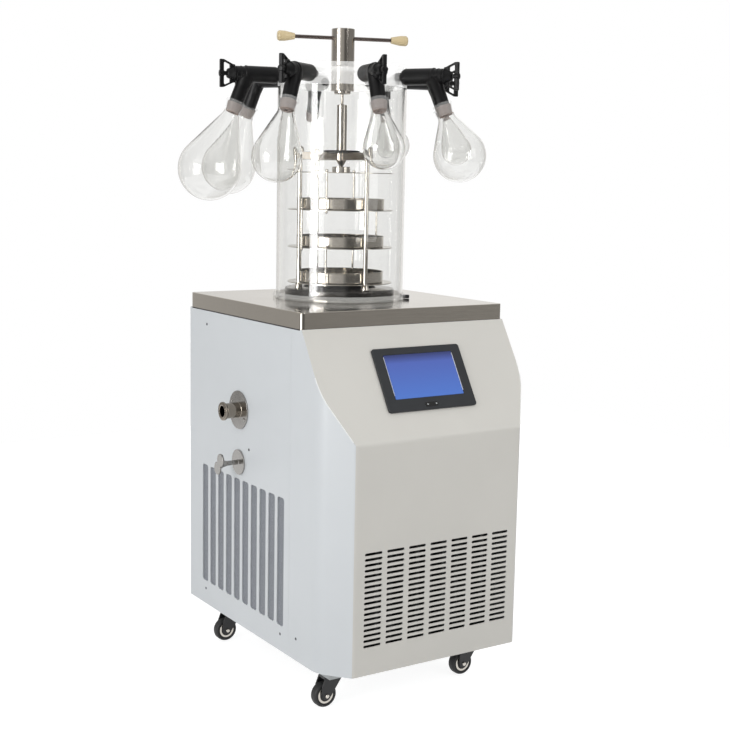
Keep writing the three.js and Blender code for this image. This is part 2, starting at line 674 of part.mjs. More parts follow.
// Compressor, condenser and fan motor on one base plate.
function buildCondensingUnit() {
  const { width, height, thickness, frontGap, fins, finGap, frame, plate } = CONDENSER;
  const coilFront = COVER.front + frontGap;
  const coilBack = coilFront + thickness;
  const plateTop = unitFloor + plate;
  const coilBottom = plateTop - 1;
  const coilTop = plateTop + height;
  const gaps = Array.from({ length: fins }, (_, i) => {
    const x = (i - (fins - 1) / 2) * ((width - frame) / fins) - finGap / 2;
    return rectangle(x, plateTop + frame, x + finGap, coilTop - frame);
  });
  const coil = cut(
    solid(box(-width / 2, width / 2, coilFront, coilBack, coilBottom, coilTop)),
    solid(extrude(gaps, "front", coilFront - 1, coilBack + 1)),
  );
  const motorBack = coilBack + FAN.gap + FAN.hubDepth + FAN.gap + FAN.motorLength;
  const motor = rodAlongY(FAN.motorRadius, motorBack - FAN.motorLength, motorBack, 16).translate(0, 0,
    fanHeight());
  const shaft = rodAlongY(FAN.shaft, coilBack + FAN.gap, motorBack, 8).translate(0, 0, fanHeight());
  const bracket = box(-FAN.motorRadius / 2, FAN.motorRadius / 2, motorBack - FAN.motorLength + 5,
    motorBack - 5, coilBottom, fanHeight());
  const { radius, height: shellHeight, x, y } = COMPRESSOR;
  const dome = radius * 0.35;
  const shell = turned([
    [0, coilBottom], [radius - 8, coilBottom], [radius, plateTop + 10], [radius,
      plateTop + shellHeight - dome],
    [radius * 0.8, plateTop + shellHeight - dome * 0.35], [radius * 0.4, plateTop + shellHeight], [0,
      plateTop + shellHeight],
  ], 20).translate(x, y, 0);
  const base = box(-width / 2, width / 2, coilFront, y + radius + 10, unitFloor, plateTop);
  return join(solid(base), coil, solid(motor), solid(shaft), solid(bracket), solid(shell));
}

const fanHeight = () => unitFloor + CONDENSER.plate + CONDENSER.height / 2;

// Five pitched blades on a hub that is bored from behind for the motor's shaft.
function buildFan() {
  const front = COVER.front + CONDENSER.frontGap + CONDENSER.thickness + FAN.gap / 2;
  const back = front + FAN.gap / 2 + FAN.hubDepth;
  const hub = solid(rodAlongY(FAN.hub, front, back, 16));
  const bore = solid(rodAlongY(runningHole(FAN.shaft, 8), front + FAN.gap / 2 - 2 * CLEARANCE, back + 1,
    8));
  const outline = rounded([
    mm(FAN.hub - 6, -FAN.bladeChord * 0.3), mm(FAN.radius, -FAN.bladeChord * 0.5),
    mm(FAN.radius, FAN.bladeChord * 0.45), mm(FAN.hub - 6, FAN.bladeChord * 0.3),
  ], [0, 14, 14, 0]);
  const blades = Array.from({ length: FAN.blades }, (_, i) => {
    const blade = extrude(outline, "plan", -0.8, 0.8, 2)
      .rotateX(Math.PI / 2 - radians(FAN.bladeTilt))
      .rotateY((2 * Math.PI * i) / FAN.blades)
      .translate(0, (front + back) / 2, 0);
    return solid(blade);
  });
  return cut(join(hub, ...blades), bore).translate([0, 0, fanHeight()]);
}

add(machine, "condensing_unit", buildCondensingUnit(), FINISH.darkSteel);
add(machine, "fan_rotor", buildFan(), FINISH.blackPlastic);

// ---------------------------------------------------------------- drying chamber

// Facets round the large turned pieces.
const ROUND = 32;

// Heights from here on are above the table top.
const trapFlangeTop = CLEARANCE + TRAP.flangeThickness;

// L-section ring that the cylinder stands in, with a pull tab at its rim.
function buildSeal() {
  const outer = (RIM_RADIUS + CHAMBER.sealLip);
  const cylinderOuter = CHAMBER.outer / 2;
  const inner = cylinderOuter - CHAMBER.wall - 3;
  const ring = turned([
    [inner, CLEARANCE], [outer, CLEARANCE], [outer, CHAMBER.sealHeight], [cylinderOuter + CLEARANCE,
      CHAMBER.sealHeight],
    [cylinderOuter + CLEARANCE, CHAMBER.bottom], [inner, CHAMBER.bottom],
  ], ROUND);
  const tab = turned([
    [0, CLEARANCE], [CHAMBER.sealTab / 2, CLEARANCE], [CHAMBER.sealTab / 2,
      CHAMBER.sealHeight * 0.7], [0, CHAMBER.sealHeight],
  ], 12).translate(outer + 2, 0, 0).rotateZ(radians(CHAMBER.tabDirection));
  return join(solid(ring), solid(tab));
}

function buildCylinder() {
  const outer = CHAMBER.outer / 2;
  const inner = outer - CHAMBER.wall;
  const bottom = CHAMBER.bottom + CLEARANCE;
  return turned([[inner, bottom], [outer, bottom], [outer, CHAMBER.top], [inner, CHAMBER.top]], ROUND);
}

// Drum-shaped lid: a flat plate with a deep rim that is bored for the eight valves.
function buildLid() {
  const outer = CHAMBER.outer / 2;
  const bottom = CHAMBER.top + CLEARANCE;
  const holeSegments = 8;
  const shell = turned([
    [LID.bushRadius + CLEARANCE, LID.top - LID.plate], [outer - LID.wall,
      LID.top - LID.plate], [outer - LID.wall, bottom],
    [outer, bottom], [outer, LID.top - 2], [outer - 2, LID.top], [LID.bushRadius + CLEARANCE, LID.top],
  ], ROUND);
  const hole = runningHole(VALVE.spigotRadius, holeSegments);
  const holes = valveDirections().map((direction) => solid(
    rodAlongX(hole, outer - 2 * LID.wall, outer + LID.wall, holeSegments).translate(0, 0, LID.portHeight)
      .rotateZ(radians(direction)),
  ));
  return cut(solid(shell), ...holes);
}

// Steel bush through the lid that guides and seals the press rod.
function buildBush() {
  const bore = runningHole(PRESS.rodRadius, 12);
  const collarTop = CHAMBER.top - LID.collarDrop / 2;
  return cut(solid(turned([
    [0, CHAMBER.top - LID.collarDrop], [LID.collarRadius,
      CHAMBER.top - LID.collarDrop], [LID.collarRadius, collarTop],
    [LID.bushRadius, collarTop], [LID.bushRadius, LID.top], [0, LID.top],
  ], 20)), solid(rod(bore, CHAMBER.top - 2 * LID.collarDrop, LID.top + 1, 12)));
}

add(chamber, "base_seal", buildSeal(), FINISH.rubber);
add(chamber, "chamber_cylinder", buildCylinder(), FINISH.acrylic);
add(chamber, "manifold_lid", buildLid(), FINISH.frosted);
add(chamber, "press_bush", buildBush(), FINISH.brushedSteel);

// ---------------------------------------------------------------- shelf rack

const onCircle = (geometry, radius, direction) =>
  geometry.translate(radius, 0, 0).rotateZ(radians(direction));

// Base drum with a wide mouth over the trap, and three posts with feet, shoulders and
// domed nuts.
function buildRackBase() {
  const bottom = trapFlangeTop + CLEARANCE;
  const top = bottom + RACK.baseHeight;
  const rim = RACK.baseRadius;
  const drum = solid(turned([
    [rim - RACK.plate, bottom], [rim, bottom], [rim, top - 2], [rim - 2, top], [RACK.mouthRadius, top],
    [RACK.mouthRadius, top - RACK.plate], [rim - RACK.plate, top - RACK.plate],
  ], ROUND));
  const shoulder = RACK.bridgeBottom - CLEARANCE;
  const nutBottom = RACK.bridgeBottom + RACK.bridgeThickness + CLEARANCE;
  const footTop = RACK.shelfHeights[0] - CLEARANCE;
  const post = [
    [0, top - 1], [RACK.footRadius, top - 1], [RACK.footRadius * 0.75, footTop], [RACK.postRadius, footTop],
    [RACK.postRadius, shoulder - 1], [RACK.nutRadius, shoulder - 1], [RACK.nutRadius, shoulder],
    [RACK.postRadius, shoulder], [RACK.postRadius, nutBottom], [RACK.nutRadius, nutBottom],
    [RACK.nutRadius, nutBottom + RACK.nutHeight * 0.6], [0, nutBottom + RACK.nutHeight],
  ];
  const posts = POST_DIRECTIONS.map((direction) => solid(onCircle(turned(post, 8), RACK.postCircle,
    direction)));
  return join(drum, ...posts);
}

// Three arms that tie the post tops together, and the guide plate for the press ram.
function buildBridge() {
  const { bridgeBottom, bridgeThickness, armWidth, postCircle, postRadius, guideRadius,
    guideThickness } = RACK;
  const top = bridgeBottom + bridgeThickness;
  const arms = POST_DIRECTIONS.map((direction) => {
    const outline = rectangle(0, -armWidth / 2, postCircle + armWidth / 2, armWidth / 2, armWidth * 0.49);
    return solid(extrude(outline, "plan", bridgeBottom, top, 3).rotateZ(radians(direction)));
  });
  const guide = solid(rod(guideRadius, top - 1, top + guideThickness, 20));
  const boss = solid(rod(PRESS.ramRadius + 6, bridgeBottom, top, 12));
  const ramHole = solid(rod(runningHole(PRESS.ramRadius, 12), bridgeBottom - 1, top + guideThickness + 1,
    12));
  const postHoles = POST_DIRECTIONS.map((direction) => solid(
    onCircle(rod(runningHole(postRadius, 8), bridgeBottom - 1, top + 1, 8), postCircle, direction),
  ));
  return cut(join(boss, guide, ...arms), ramHole, ...postHoles);
}

// A thin round plate with clearance for the posts and for the hanger rods of the plate
// below it. Its own hanger rods stand on it, with a ball above the next plate.
function hangerPlate(height, rodsUp, rodsThrough, rise) {
  const { plateRadius, plateThickness, postCircle, postRadius, linkCircle, linkRadius, linkBall } = RACK;
  const plate = solid(rod(plateRadius, height, height + plateThickness, 28));
  const postHoles = POST_DIRECTIONS.map((direction) => solid(
    onCircle(rod(runningHole(postRadius, 8) + 2 * CLEARANCE, height - 1, height + plateThickness + 1, 8),
      postCircle, direction),
  ));
  const rodHoles = rodsThrough.map((direction) => solid(
    onCircle(rod(runningHole(linkRadius, 6), height - 1, height + plateThickness + 1, 6), linkCircle,
      direction),
  ));
  const rods = rodsUp.map((direction) => {
    const ballSeat = height + rise + plateThickness + CLEARANCE;
    const profile = [
      [0, height - 2 * linkBall], [linkBall, height - linkBall], [linkRadius, height + 0.5],
      [linkRadius, ballSeat], [linkBall, ballSeat], [linkBall, ballSeat + linkBall], [0,
        ballSeat + 2 * linkBall],
    ];
    return solid(onCircle(turned(profile, 6), linkCircle, direction));
  });
  return join(cut(plate, ...postHoles, ...rodHoles), ...rods);
}

// A round pan.
function buildTray(height) {
  const { trayRadius, trayHeight, trayWall } = RACK;
  const floor = height + RACK.plateThickness + CLEARANCE;
  return turned([
    [0, floor], [trayRadius, floor], [trayRadius, floor + trayHeight], [trayRadius - trayWall,
      floor + trayHeight],
    [trayRadius - trayWall, floor + trayWall], [0, floor + trayWall],
  ], 24);
}

add(chamber, "rack_base", buildRackBase(), FINISH.darkSteel);
add(chamber, "bridge_plate", buildBridge(), FINISH.brushedSteel);

const shelfNames = ["lower", "middle", "upper"];
const levels = [...RACK.shelfHeights, RACK.pressHeight];
shelfNames.forEach((name, level) => {
  const linksUp = LINK_DIRECTIONS[level];
  const linksThrough = level === 0 ? [] : LINK_DIRECTIONS[level - 1];
  const rise = levels[level + 1] - levels[level];
  add(chamber, `shelf_${name}`, hangerPlate(levels[level], linksUp, linksThrough, rise),
    FINISH.brushedSteel);
  add(chamber, `tray_${name}`, buildTray(levels[level]), FINISH.brushedSteel);
});

// ---------------------------------------------------------------- stoppering press

// Press plate: the top plate of the hanging stack, with the cup that takes the ram's tip.
function buildPressPlate() {
  const top = RACK.pressHeight + RACK.plateThickness;
  const tipHole = runningHole(PRESS.tipRadius, 16);
  const cup = turned([
    [0, RACK.pressHeight], [PRESS.cupRadius, RACK.pressHeight], [PRESS.cupRadius,
      RACK.pressHeight + PRESS.cupHeight],
    [tipHole, RACK.pressHeight + PRESS.cupHeight], [tipHole, top], [0, top],
  ], 16);
  return join(hangerPlate(RACK.pressHeight, [], LINK_DIRECTIONS[2], 0), solid(cup));
}

// Ram: rod up into the handle, guided shank through the bridge, cone and tip in the cup.
function buildRam() {
  const tipBottom = RACK.pressHeight + RACK.plateThickness + CLEARANCE;
  const coneBottom = RACK.pressHeight + PRESS.cupHeight + 1;
  const coneTop = coneBottom + PRESS.tipHeight;
  const rodTop = LID.top + PRESS.hubHeight - PRESS.hubCap - CLEARANCE;
  return turned([
    [0, tipBottom], [PRESS.tipRadius, tipBottom], [PRESS.tipRadius, coneBottom], [PRESS.ramRadius, coneTop],
    [PRESS.ramRadius, PRESS.ramTop], [PRESS.rodRadius, PRESS.ramTop],
    [PRESS.rodRadius, rodTop], [0, rodTop],
  ], 16);
}

// Handle: hub over the rod, with the cross bar and its two flared grips.
function buildHandle() {
  const bottom = LID.top + CLEARANCE;
  const top = LID.top + PRESS.hubHeight;
  const bore = runningHole(PRESS.rodRadius, 12);
  const hub = cut(
    solid(turned([[0, bottom], [PRESS.hubRadius, bottom], [PRESS.hubRadius, top - 1.5],
      [PRESS.hubRadius - 1.5, top], [0, top]], 20)),
    solid(rod(bore, bottom - 1, top - PRESS.hubCap, 12)),
  );
  const gripStart = PRESS.barLength / 2 - PRESS.gripLength;
  const gripProfile = [
    [0, gripStart], [PRESS.gripNeck, gripStart], [PRESS.gripRadius, gripStart + PRESS.gripLength * 0.6],
    [PRESS.gripRadius, gripStart + PRESS.gripLength * 0.92], [PRESS.gripRadius * 0.8,
      gripStart + PRESS.gripLength],
    [0, gripStart + PRESS.gripLength],
  ];
  const half = () => join(
    solid(rodAlongX(PRESS.barRadius, PRESS.hubRadius - 3, gripStart + 2, 8)),
    solid(turnedAlongX(gripProfile, 10)),
  );
  const bar = join(half(), half().rotate([0, 0, 180])).translate([0, 0, LID.top + PRESS.barHeight]);
  return join(hub, bar.rotate([0, 0, PRESS.barTurn]));
}

add(chamber, "press_plate", buildPressPlate(), FINISH.brushedSteel);
add(chamber, "press_ram", buildRam(), FINISH.brushedSteel);
add(chamber, "press_handle", buildHandle(), FINISH.brushedSteel);

// ---------------------------------------------------------------- valves and flasks

function valveDirections() {
  return Array.from({ length: VALVE.count }, (_, i) => VALVE.firstDirection + (360 * i) / VALVE.count);
}

// Facets round the legs and the flasks, which fit each other.
const LEG_SEGMENTS = 12;

// Puts a shape drawn about +Z, heights measured down the leg, on the leg's axis.
const onLeg = (geometry) => geometry.rotateY(Math.PI - radians(VALVE.legTilt)).translate(VALVE.legAt, 0, 0);

const mouthAt = VALVE.legLength + CLEARANCE;

// Outline of a flask's glass at a depth below its skin, from the mouth to the bottom pole:
// flared mouth, neck, straight shoulder and round bulb, as [radius, distance down the leg].
function flaskLine({ bulb, reach }, depth, steps) {
  const radius = bulb / 2 - depth;
  const centre = VALVE.legLength + reach;
  const neck = [FLASK.neckRadius - depth, mouthAt + FLASK.neckAt];
  const away = Math.hypot(neck[0], centre - neck[1]);
  const touch = Math.atan2(neck[0], centre - neck[1]) + Math.acos(radius / away);
  return [
    [FLASK.mouthRadius - depth, mouthAt],
    neck,
    ...arc(radius, centre, touch, Math.PI, steps),
  ];
}

function buildFlask(flask) {
  const outside = flaskLine(flask, 0, FLASK.bulbSteps);
  const inside = flaskLine(flask, FLASK.wall, FLASK.bulbSteps - 1);
  return onLeg(turned([...outside, ...inside.reverse()], LEG_SEGMENTS));
}

// Moulded valve body along +X: spigot in the lid's rim, round-ended boot, leg with a
// stopper on its end, and the seat that the knob's plug turns in.
function buildValveBody() {
  const rim = CHAMBER.outer / 2;
  const boot = rim + VALVE.bootStart;
  const { bootRadius, collarStart, bodyEnd, endRadius, spigotRadius, plugRadius, plugDepth,
    passage } = VALVE;
  const barrel = solid(turnedAlongX([
    [0, rim - LID.wall - 2], [spigotRadius, rim - LID.wall - 2], [spigotRadius, boot],
    [bootRadius * 0.8, boot], [bootRadius, boot + 8],
    [bootRadius, collarStart - 3], [endRadius, collarStart], [endRadius, bodyEnd], [0, bodyEnd],
  ], 10));
  const stopper = (distance) => FLASK.mouthRadius - FLASK.wall - 2 * CLEARANCE
    - ((distance / FLASK.neckAt) * (FLASK.mouthRadius - FLASK.neckRadius));
  const leg = solid(onLeg(turned([
    [0, 0], [VALVE.legRadius, 0], [VALVE.legRadius, VALVE.legLength], [stopper(1), mouthAt + 1],
    [stopper(VALVE.stopperLength), mouthAt + VALVE.stopperLength], [0, mouthAt + VALVE.stopperLength],
  ], LEG_SEGMENTS)));
  const seat = solid(rodAlongX(runningHole(plugRadius, 8), bodyEnd - plugDepth, bodyEnd + 1, 8));
  const inlet = solid(rodAlongX(passage, rim - 2 * LID.wall, bodyEnd - plugDepth + 1, 6));
  const outlet = solid(onLeg(rod(passage, 0, mouthAt + VALVE.stopperLength + 1, 6)));
  return cut(join(barrel, leg), seat, inlet, outlet);
}

// Turning knob: plug, collar and an upright wing with two windows.
function buildKnob() {
  const { bodyEnd, plugRadius, plugDepth, knobLength, knobCollar, wingHeight, wingThickness } = VALVE;
  const start = bodyEnd + CLEARANCE;
  const end = start + knobLength;
  const hub = plugRadius + 4;
  const stem = solid(turnedAlongX([
    [0, start - plugDepth + 2 * CLEARANCE], [plugRadius, start - plugDepth + 2 * CLEARANCE], [plugRadius,
      start],
    [knobCollar, start], [knobCollar, start + 4], [hub, start + 4], [hub * 0.8, start + 16], [0,
      start + 16],
  ], 8));
  const outline = new THREE.Shape([
    mm(start + 2, -hub), mm(start + 14, -wingHeight * 0.62), mm(end - 6, -wingHeight), mm(end, -wingHeight),
    mm(end, wingHeight), mm(end - 6, wingHeight), mm(start + 14, wingHeight * 0.62), mm(start + 2, hub),
  ]);
  const windowInner = start + 15;
  const windowOuter = end - 5;
  for (const sign of [-1, 1]) {
    outline.holes.push(new THREE.Path([
      mm(windowInner, sign * 6), mm(windowOuter, sign * 6), mm(windowOuter, sign * (wingHeight - 6)),
      mm(windowInner, sign * (wingHeight * 0.62 - 3)),
    ]));
  }
  const wing = solid(extrude(outline, "front", -wingThickness / 2, wingThickness / 2));
  return join(stem, wing);
}

valveDirections().forEach((direction, i) => {
  const port = new THREE.Group();
  port.position.z = LID.portHeight;
  port.rotation.z = radians(direction);
  chamber.add(port);
  add(port, `valve_body_${i + 1}`, buildValveBody(), FINISH.blackPlastic);
  add(port, `valve_knob_${i + 1}`, buildKnob(), FINISH.blackPlastic);
  if (FLASKS[i]) add(port, `flask_${i + 1}`, buildFlask(FLASKS[i]), FINISH.glass);
});

export default machine;
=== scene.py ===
"""Visible pieces and finishes of a manifold freeze dryer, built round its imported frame."""

import math

import bmesh
import bpy
import numpy as np
from bpy.props import FloatProperty, FloatVectorProperty, IntProperty, PointerProperty
from bpy.types import Operator, Panel, PropertyGroup
from mathutils import Matrix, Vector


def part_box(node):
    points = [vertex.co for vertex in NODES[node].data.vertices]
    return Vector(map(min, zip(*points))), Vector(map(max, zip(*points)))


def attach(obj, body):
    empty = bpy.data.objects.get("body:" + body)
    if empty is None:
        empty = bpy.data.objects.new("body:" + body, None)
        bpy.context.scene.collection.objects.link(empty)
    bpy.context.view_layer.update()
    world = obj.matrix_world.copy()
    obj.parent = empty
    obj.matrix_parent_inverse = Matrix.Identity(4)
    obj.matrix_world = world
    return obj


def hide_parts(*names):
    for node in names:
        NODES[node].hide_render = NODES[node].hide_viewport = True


bl_info = {
    "name": "Manifold Freeze Dryer",
    "version": (1, 0, 0),
    "blender": (4, 5, 0),
    "location": "3D View > Sidebar > Freeze Dryer",
    "description": "Builds the visible pieces and finishes of a manifold freeze dryer",
    "category": "Object",
}

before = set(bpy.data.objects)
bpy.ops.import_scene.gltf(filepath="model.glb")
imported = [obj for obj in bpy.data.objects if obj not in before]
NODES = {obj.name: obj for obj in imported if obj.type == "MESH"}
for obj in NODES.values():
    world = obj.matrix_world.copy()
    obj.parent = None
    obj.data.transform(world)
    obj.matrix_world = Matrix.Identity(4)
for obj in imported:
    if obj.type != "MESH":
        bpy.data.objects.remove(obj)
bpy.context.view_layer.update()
MM = 0.001


def box_of(node):
    """Lowest and highest corner of a frame node, in millimetres."""
    low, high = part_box(node)
    return np.array(low) / MM, np.array(high) / MM


# MIDDLE is the table's middle, AXIS the chamber's axis and DECK the table's height. WALL_TOP
# and LID_TOP are heights over the deck.
TABLE_LOW, TABLE_HIGH = box_of("table_top")
CYLINDER_LOW, CYLINDER_HIGH = box_of("chamber_cylinder")
DISPLAY_LOW, DISPLAY_HIGH = box_of("display")
COVER_LOW, COVER_HIGH = box_of("front_panel")
LEFT_LOW, LEFT_HIGH = box_of("left_side_panel")
MIDDLE = (TABLE_LOW + TABLE_HIGH) / 2
AXIS = (CYLINDER_LOW + CYLINDER_HIGH) / 2
DECK = TABLE_HIGH[2]
WALL_TOP = CYLINDER_HIGH[2] - DECK
LID_TOP = box_of("manifold_lid")[1][2] - DECK

# ---------------------------------------------------------------- places


def move(x=0.0, y=0.0, z=0.0):
    """A shift as a 4 by 4 matrix."""
    matrix = np.eye(4)
    matrix[:3, 3] = x, y, z
    return matrix


def turn(axis, degrees):
    """A right-handed turn about the X, Y or Z axis as a 4 by 4 matrix."""
    cosine, sine = math.cos(math.radians(degrees)), math.sin(math.radians(degrees))
    first, second = {"X": (1, 2), "Y": (2, 0), "Z": (0, 1)}[axis]
    matrix = np.eye(4)
    matrix[first, first] = matrix[second, second] = cosine
    matrix[second, first] = sine
    matrix[first, second] = -sine
    return matrix


CABINET = move(MIDDLE[0], MIDDLE[1], 0)
CHAMBER = move(AXIS[0], AXIS[1], DECK)
Z_TO_X = turn("Y", 90)
Y_TO_Z = turn("X", 90)

# ---------------------------------------------------------------- surfaces


def grid(places, closed):
    """Faces over a net of places: each quad joins a place with the next in its row and in
    its column. A row joins its last place to its first, and a closed net its last row to its
    first."""
    rows, columns = places.shape[:2]
    index = np.arange(rows * columns).reshape(rows, columns)
    right, down = np.roll(index, -1, 1), np.roll(index, -1, 0)
    quads = np.stack([index, right, np.roll(down, -1, 1), down], -1)
    quads = quads if closed else quads[:-1]
    return outward(places.reshape(-1, 3), quads.reshape(-1, 4).tolist())


def outward(points, faces):
    """Turns a closed skin's faces over when the sum of its corner products, which is six
    times its volume, comes out below zero."""
    corners = np.array([face[:3] for face in faces] + [[f[0], f[2], f[-1]] for f in faces])
    a, b, c = points[corners[:, 0]], points[corners[:, 1]], points[corners[:, 2]]
    if np.einsum("ij,ij->i", a, np.cross(b, c)).sum() < 0:
        faces = [face[::-1] for face in faces]
    return points, faces


def rounded_line(points, closed=False, steps=5):
    """A line of (u, v, radius) corners. Each corner with a radius becomes an arc that both
    its sides touch: it starts at radius / tan(half the corner's angle) from the corner, and
    its points are slerped between the two touching directions about its own centre."""
    corners = np.array([(p[0], p[1]) for p in points], float)
    bends = [p[2] if len(p) > 2 else 0.0 for p in points]
    line = []
    for i, bend in enumerate(bends):
        if bend <= 0 or (not closed and i in (0, len(bends) - 1)):
            line.append(corners[i][None])
            continue
        back = corners[i - 1] - corners[i]
        ahead = corners[(i + 1) % len(bends)] - corners[i]
        back, ahead = back / np.linalg.norm(back), ahead / np.linalg.norm(ahead)
        half = math.acos(np.clip(back @ ahead, -1, 1)) / 2
        middle = (back + ahead) / np.linalg.norm(back + ahead)
        centre = corners[i] + middle * bend / math.sin(half)
        start = corners[i] + back * bend / math.tan(half) - centre
        end = corners[i] + ahead * bend / math.tan(half) - centre
        spread = math.pi - 2 * half
        share = np.linspace(0, 1, steps + 1)[:, None]
        swing = np.sin((1 - share) * spread) * start + np.sin(share * spread) * end
        line.append(centre + swing / math.sin(spread))
    return np.concatenate(line)


def revolved(points, closed=False, around=64, steps=5):
    """A turned body: place(u, v) = (r(v) cos u, r(v) sin u, h(v)), where (r, h) runs along the
    rounded line of (radius, height, corner radius) and u goes once round the axis."""
    line = rounded_line(points, closed, steps)
    angle = np.linspace(0, 2 * math.pi, around, endpoint=False)
    radius, height = line[:, :1], line[:, 1:]
    places = np.stack([radius * np.cos(angle), radius * np.sin(angle), height + 0 * angle], -1)
    return grid(places, closed)


def rod(radius, low, high, edge=0.6, around=24):
    """A turned rod with rounded ends."""
    return revolved(
        [(0, low), (radius, low, edge), (radius, high, edge), (0, high)], around=around, steps=3
    )


def circle(radius, x=0.0, y=0.0, around=48, start=0.0, end=360.0):
    """Places at radius from (x, y), from one angle to another."""
    whole = end - start >= 360
    angle = np.radians(np.linspace(start, end, around, endpoint=not whole))
    return np.column_stack([x + radius * np.cos(angle), y + radius * np.sin(angle)])


def oblong(width, height, radius, x=0.0, y=0.0):
    """A rectangle about (x, y) with rounded corners."""
    w, h = width / 2, height / 2
    corners = [(-w, -h, radius), (w, -h, radius), (w, h, radius), (-w, h, radius)]
    return rounded_line(corners, closed=True, steps=6) + (x, y)


def plate(outline, holes=(), low=0.0, high=1.0, edge=0.3):
    """A flat plate cut to an outline with holes: the curve's own fill, swept through the
    thickness, with a quarter round of the edge radius along every rim."""
    curve = bpy.data.curves.new("outline", "CURVE")
    curve.dimensions, curve.fill_mode = "2D", "BOTH"
    curve.extrude = (high - low) / 2 - edge
    curve.bevel_depth, curve.bevel_resolution, curve.offset = edge, 2, -edge
    for number, loop in enumerate([outline, *holes]):
        ahead = np.roll(loop, -1, 0)
        area = (loop[:, 0] * ahead[:, 1] - ahead[:, 0] * loop[:, 1]).sum()
        loop = loop if (area > 0) == (number == 0) else loop[::-1]
        spline = curve.splines.new("POLY")
        spline.points.add(len(loop) - 1)
        flat = np.column_stack([loop, np.zeros(len(loop)), np.ones(len(loop))])
        spline.points.foreach_set("co", flat.ravel())
        spline.use_cyclic_u = True
    holder = bpy.data.objects.new("outline", curve)
    mesh = bpy.data.meshes.new_from_object(holder)
    points = np.zeros(len(mesh.vertices) * 3)
    mesh.vertices.foreach_get("co", points)
    faces = [list(face.vertices) for face in mesh.polygons]
    bpy.data.objects.remove(holder)
    bpy.data.curves.remove(curve)
    bpy.data.meshes.remove(mesh)
    return points.reshape(-1, 3) + (0, 0, (low + high) / 2), faces


def beaded(path, radius, around):
    """A thin bead along a rising path: place(u, v) = path(v) + radius (cos u n(v) + sin u Y),
    where n lies in the XZ plane, square to the path as seen along Y. Both ends close on the
    path."""
    along = np.gradient(path, axis=0)
    along /= np.linalg.norm(along, axis=1)[:, None]
    normal = np.column_stack([-along[:, 2], 0 * along[:, 1], along[:, 0]])
    angle = np.linspace(0, 2 * math.pi, around, endpoint=False)[:, None]
    ring = np.cos(angle) * normal[:, None] + np.sin(angle) * np.array([0, 1, 0])
    places = path[:, None] + radius * ring
    ends = [np.repeat(path[i][None, None], around, 1) for i in (0, -1)]
    return grid(np.concatenate([ends[0], places, ends[1]]), False)


def placed(part, *matrices):
    """A part's points carried through the matrices, the last one first."""
    points, faces = part
    matrix = np.linalg.multi_dot(matrices) if len(matrices) > 1 else matrices[0]
    return points @ matrix[:3, :3].T + matrix[:3, 3], faces


# ---------------------------------------------------------------- pieces

# Points closer than this many metres are one, faces within this many degrees are one flat
# face, and a sheet's edges sharper than this many degrees can be rounded.
MERGE_DISTANCE = 2e-6
FLAT_WITHIN = 0.4
SHEET_SHARP = 28


def shown(name, mesh, finishes, body, stands_for, sharp):
    """Gives a mesh its finishes, by name, and soft shading, and lets its object ride on a
    body and stand for nodes. Faces that meet at more than the sharp angle keep their edge."""
    for finish in finishes:
        mesh.materials.append(finish_of(finish))
    mesh.shade_smooth()
    mesh.set_sharp_from_angle(angle=math.radians(sharp))
    piece = bpy.data.objects.new(name, mesh)
    bpy.context.scene.collection.objects.link(piece)
    weighted = piece.modifiers.new("Flat faces stay flat", "WEIGHTED_NORMAL")
    weighted.keep_sharp = True
    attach(piece, body)
    if stands_for:
        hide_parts(*stands_for)
    return piece


def made(name, parts, finishes, body="cabinet", stands_for=(), sharp=35):
    """One piece from closed parts in millimetres. A part may come as (part, finish number)."""
    points, faces, kinds, count = [], [], [], 0
    for part in parts:
        kind = 0
        if isinstance(part[1], int):
            part, kind = part
        points.append(part[0])
        faces += [[corner + count for corner in face] for face in part[1]]
        kinds += [kind] * len(part[1])
        count += len(part[0])
    mesh = bpy.data.meshes.new(name)
    mesh.from_pydata(np.concatenate(points) * MM, [], faces)
    mesh.polygons.foreach_set("material_index", kinds)
    work = bmesh.new()
    work.from_mesh(mesh)
    bmesh.ops.remove_doubles(work, verts=work.verts, dist=MERGE_DISTANCE)
    bmesh.ops.dissolve_degenerate(work, edges=work.edges, dist=MERGE_DISTANCE / 2)
    work.to_mesh(mesh)
    work.free()
    return shown(name, mesh, finishes, body, stands_for, sharp)


def eased(name, node, finishes, rule=None, radius=0.0, steps=3):
    """A merged copy of a frame node. The edges whose two ends, in millimetres, pass the rule
    are rounded to the radius."""
    mesh = NODES[node].data.copy()
    mesh.materials.clear()
    work = bmesh.new()
    work.from_mesh(mesh)
    bmesh.ops.remove_doubles(work, verts=work.verts, dist=MERGE_DISTANCE)
    bmesh.ops.dissolve_limit(
        work, angle_limit=math.radians(FLAT_WITHIN), verts=work.verts, edges=work.edges
    )
    if rule:
        chosen = [
            edge
            for edge in work.edges
            if edge.calc_face_angle(0) > math.radians(SHEET_SHARP)
            and rule(np.array(edge.verts[0].co) / MM, np.array(edge.verts[1].co) / MM)
        ]
        bmesh.ops.bevel(
            work, geom=chosen, offset=radius * MM, segments=steps, profile=0.5, affect="EDGES"
        )
    work.to_mesh(mesh)
    work.free()
    return shown(name, mesh, finishes, "cabinet", (node,), SHEET_SHARP)


def dress(node, finish):
    """Gives a frame node that is shown as it is its finish, by name."""
    for holder in NODES[node].material_slots:
        holder.material = finish_of(finish)


# ---------------------------------------------------------------- shared effects


def linear(red, green, blue):
    """A display colour of 0 to 255 a channel as the linear colour that shaders take."""
    share = np.array([red, green, blue]) / 255
    return (*np.where(share > 0.04045, ((share + 0.055) / 1.055) ** 2.4, share / 12.92), 1.0)


def toned(colour, share, lift=0.0):
    """A colour with its brightness multiplied by a share and lifted, held to 1."""
    return (*(min(1.0, channel * share + lift) for channel in colour[:3]), 1.0)


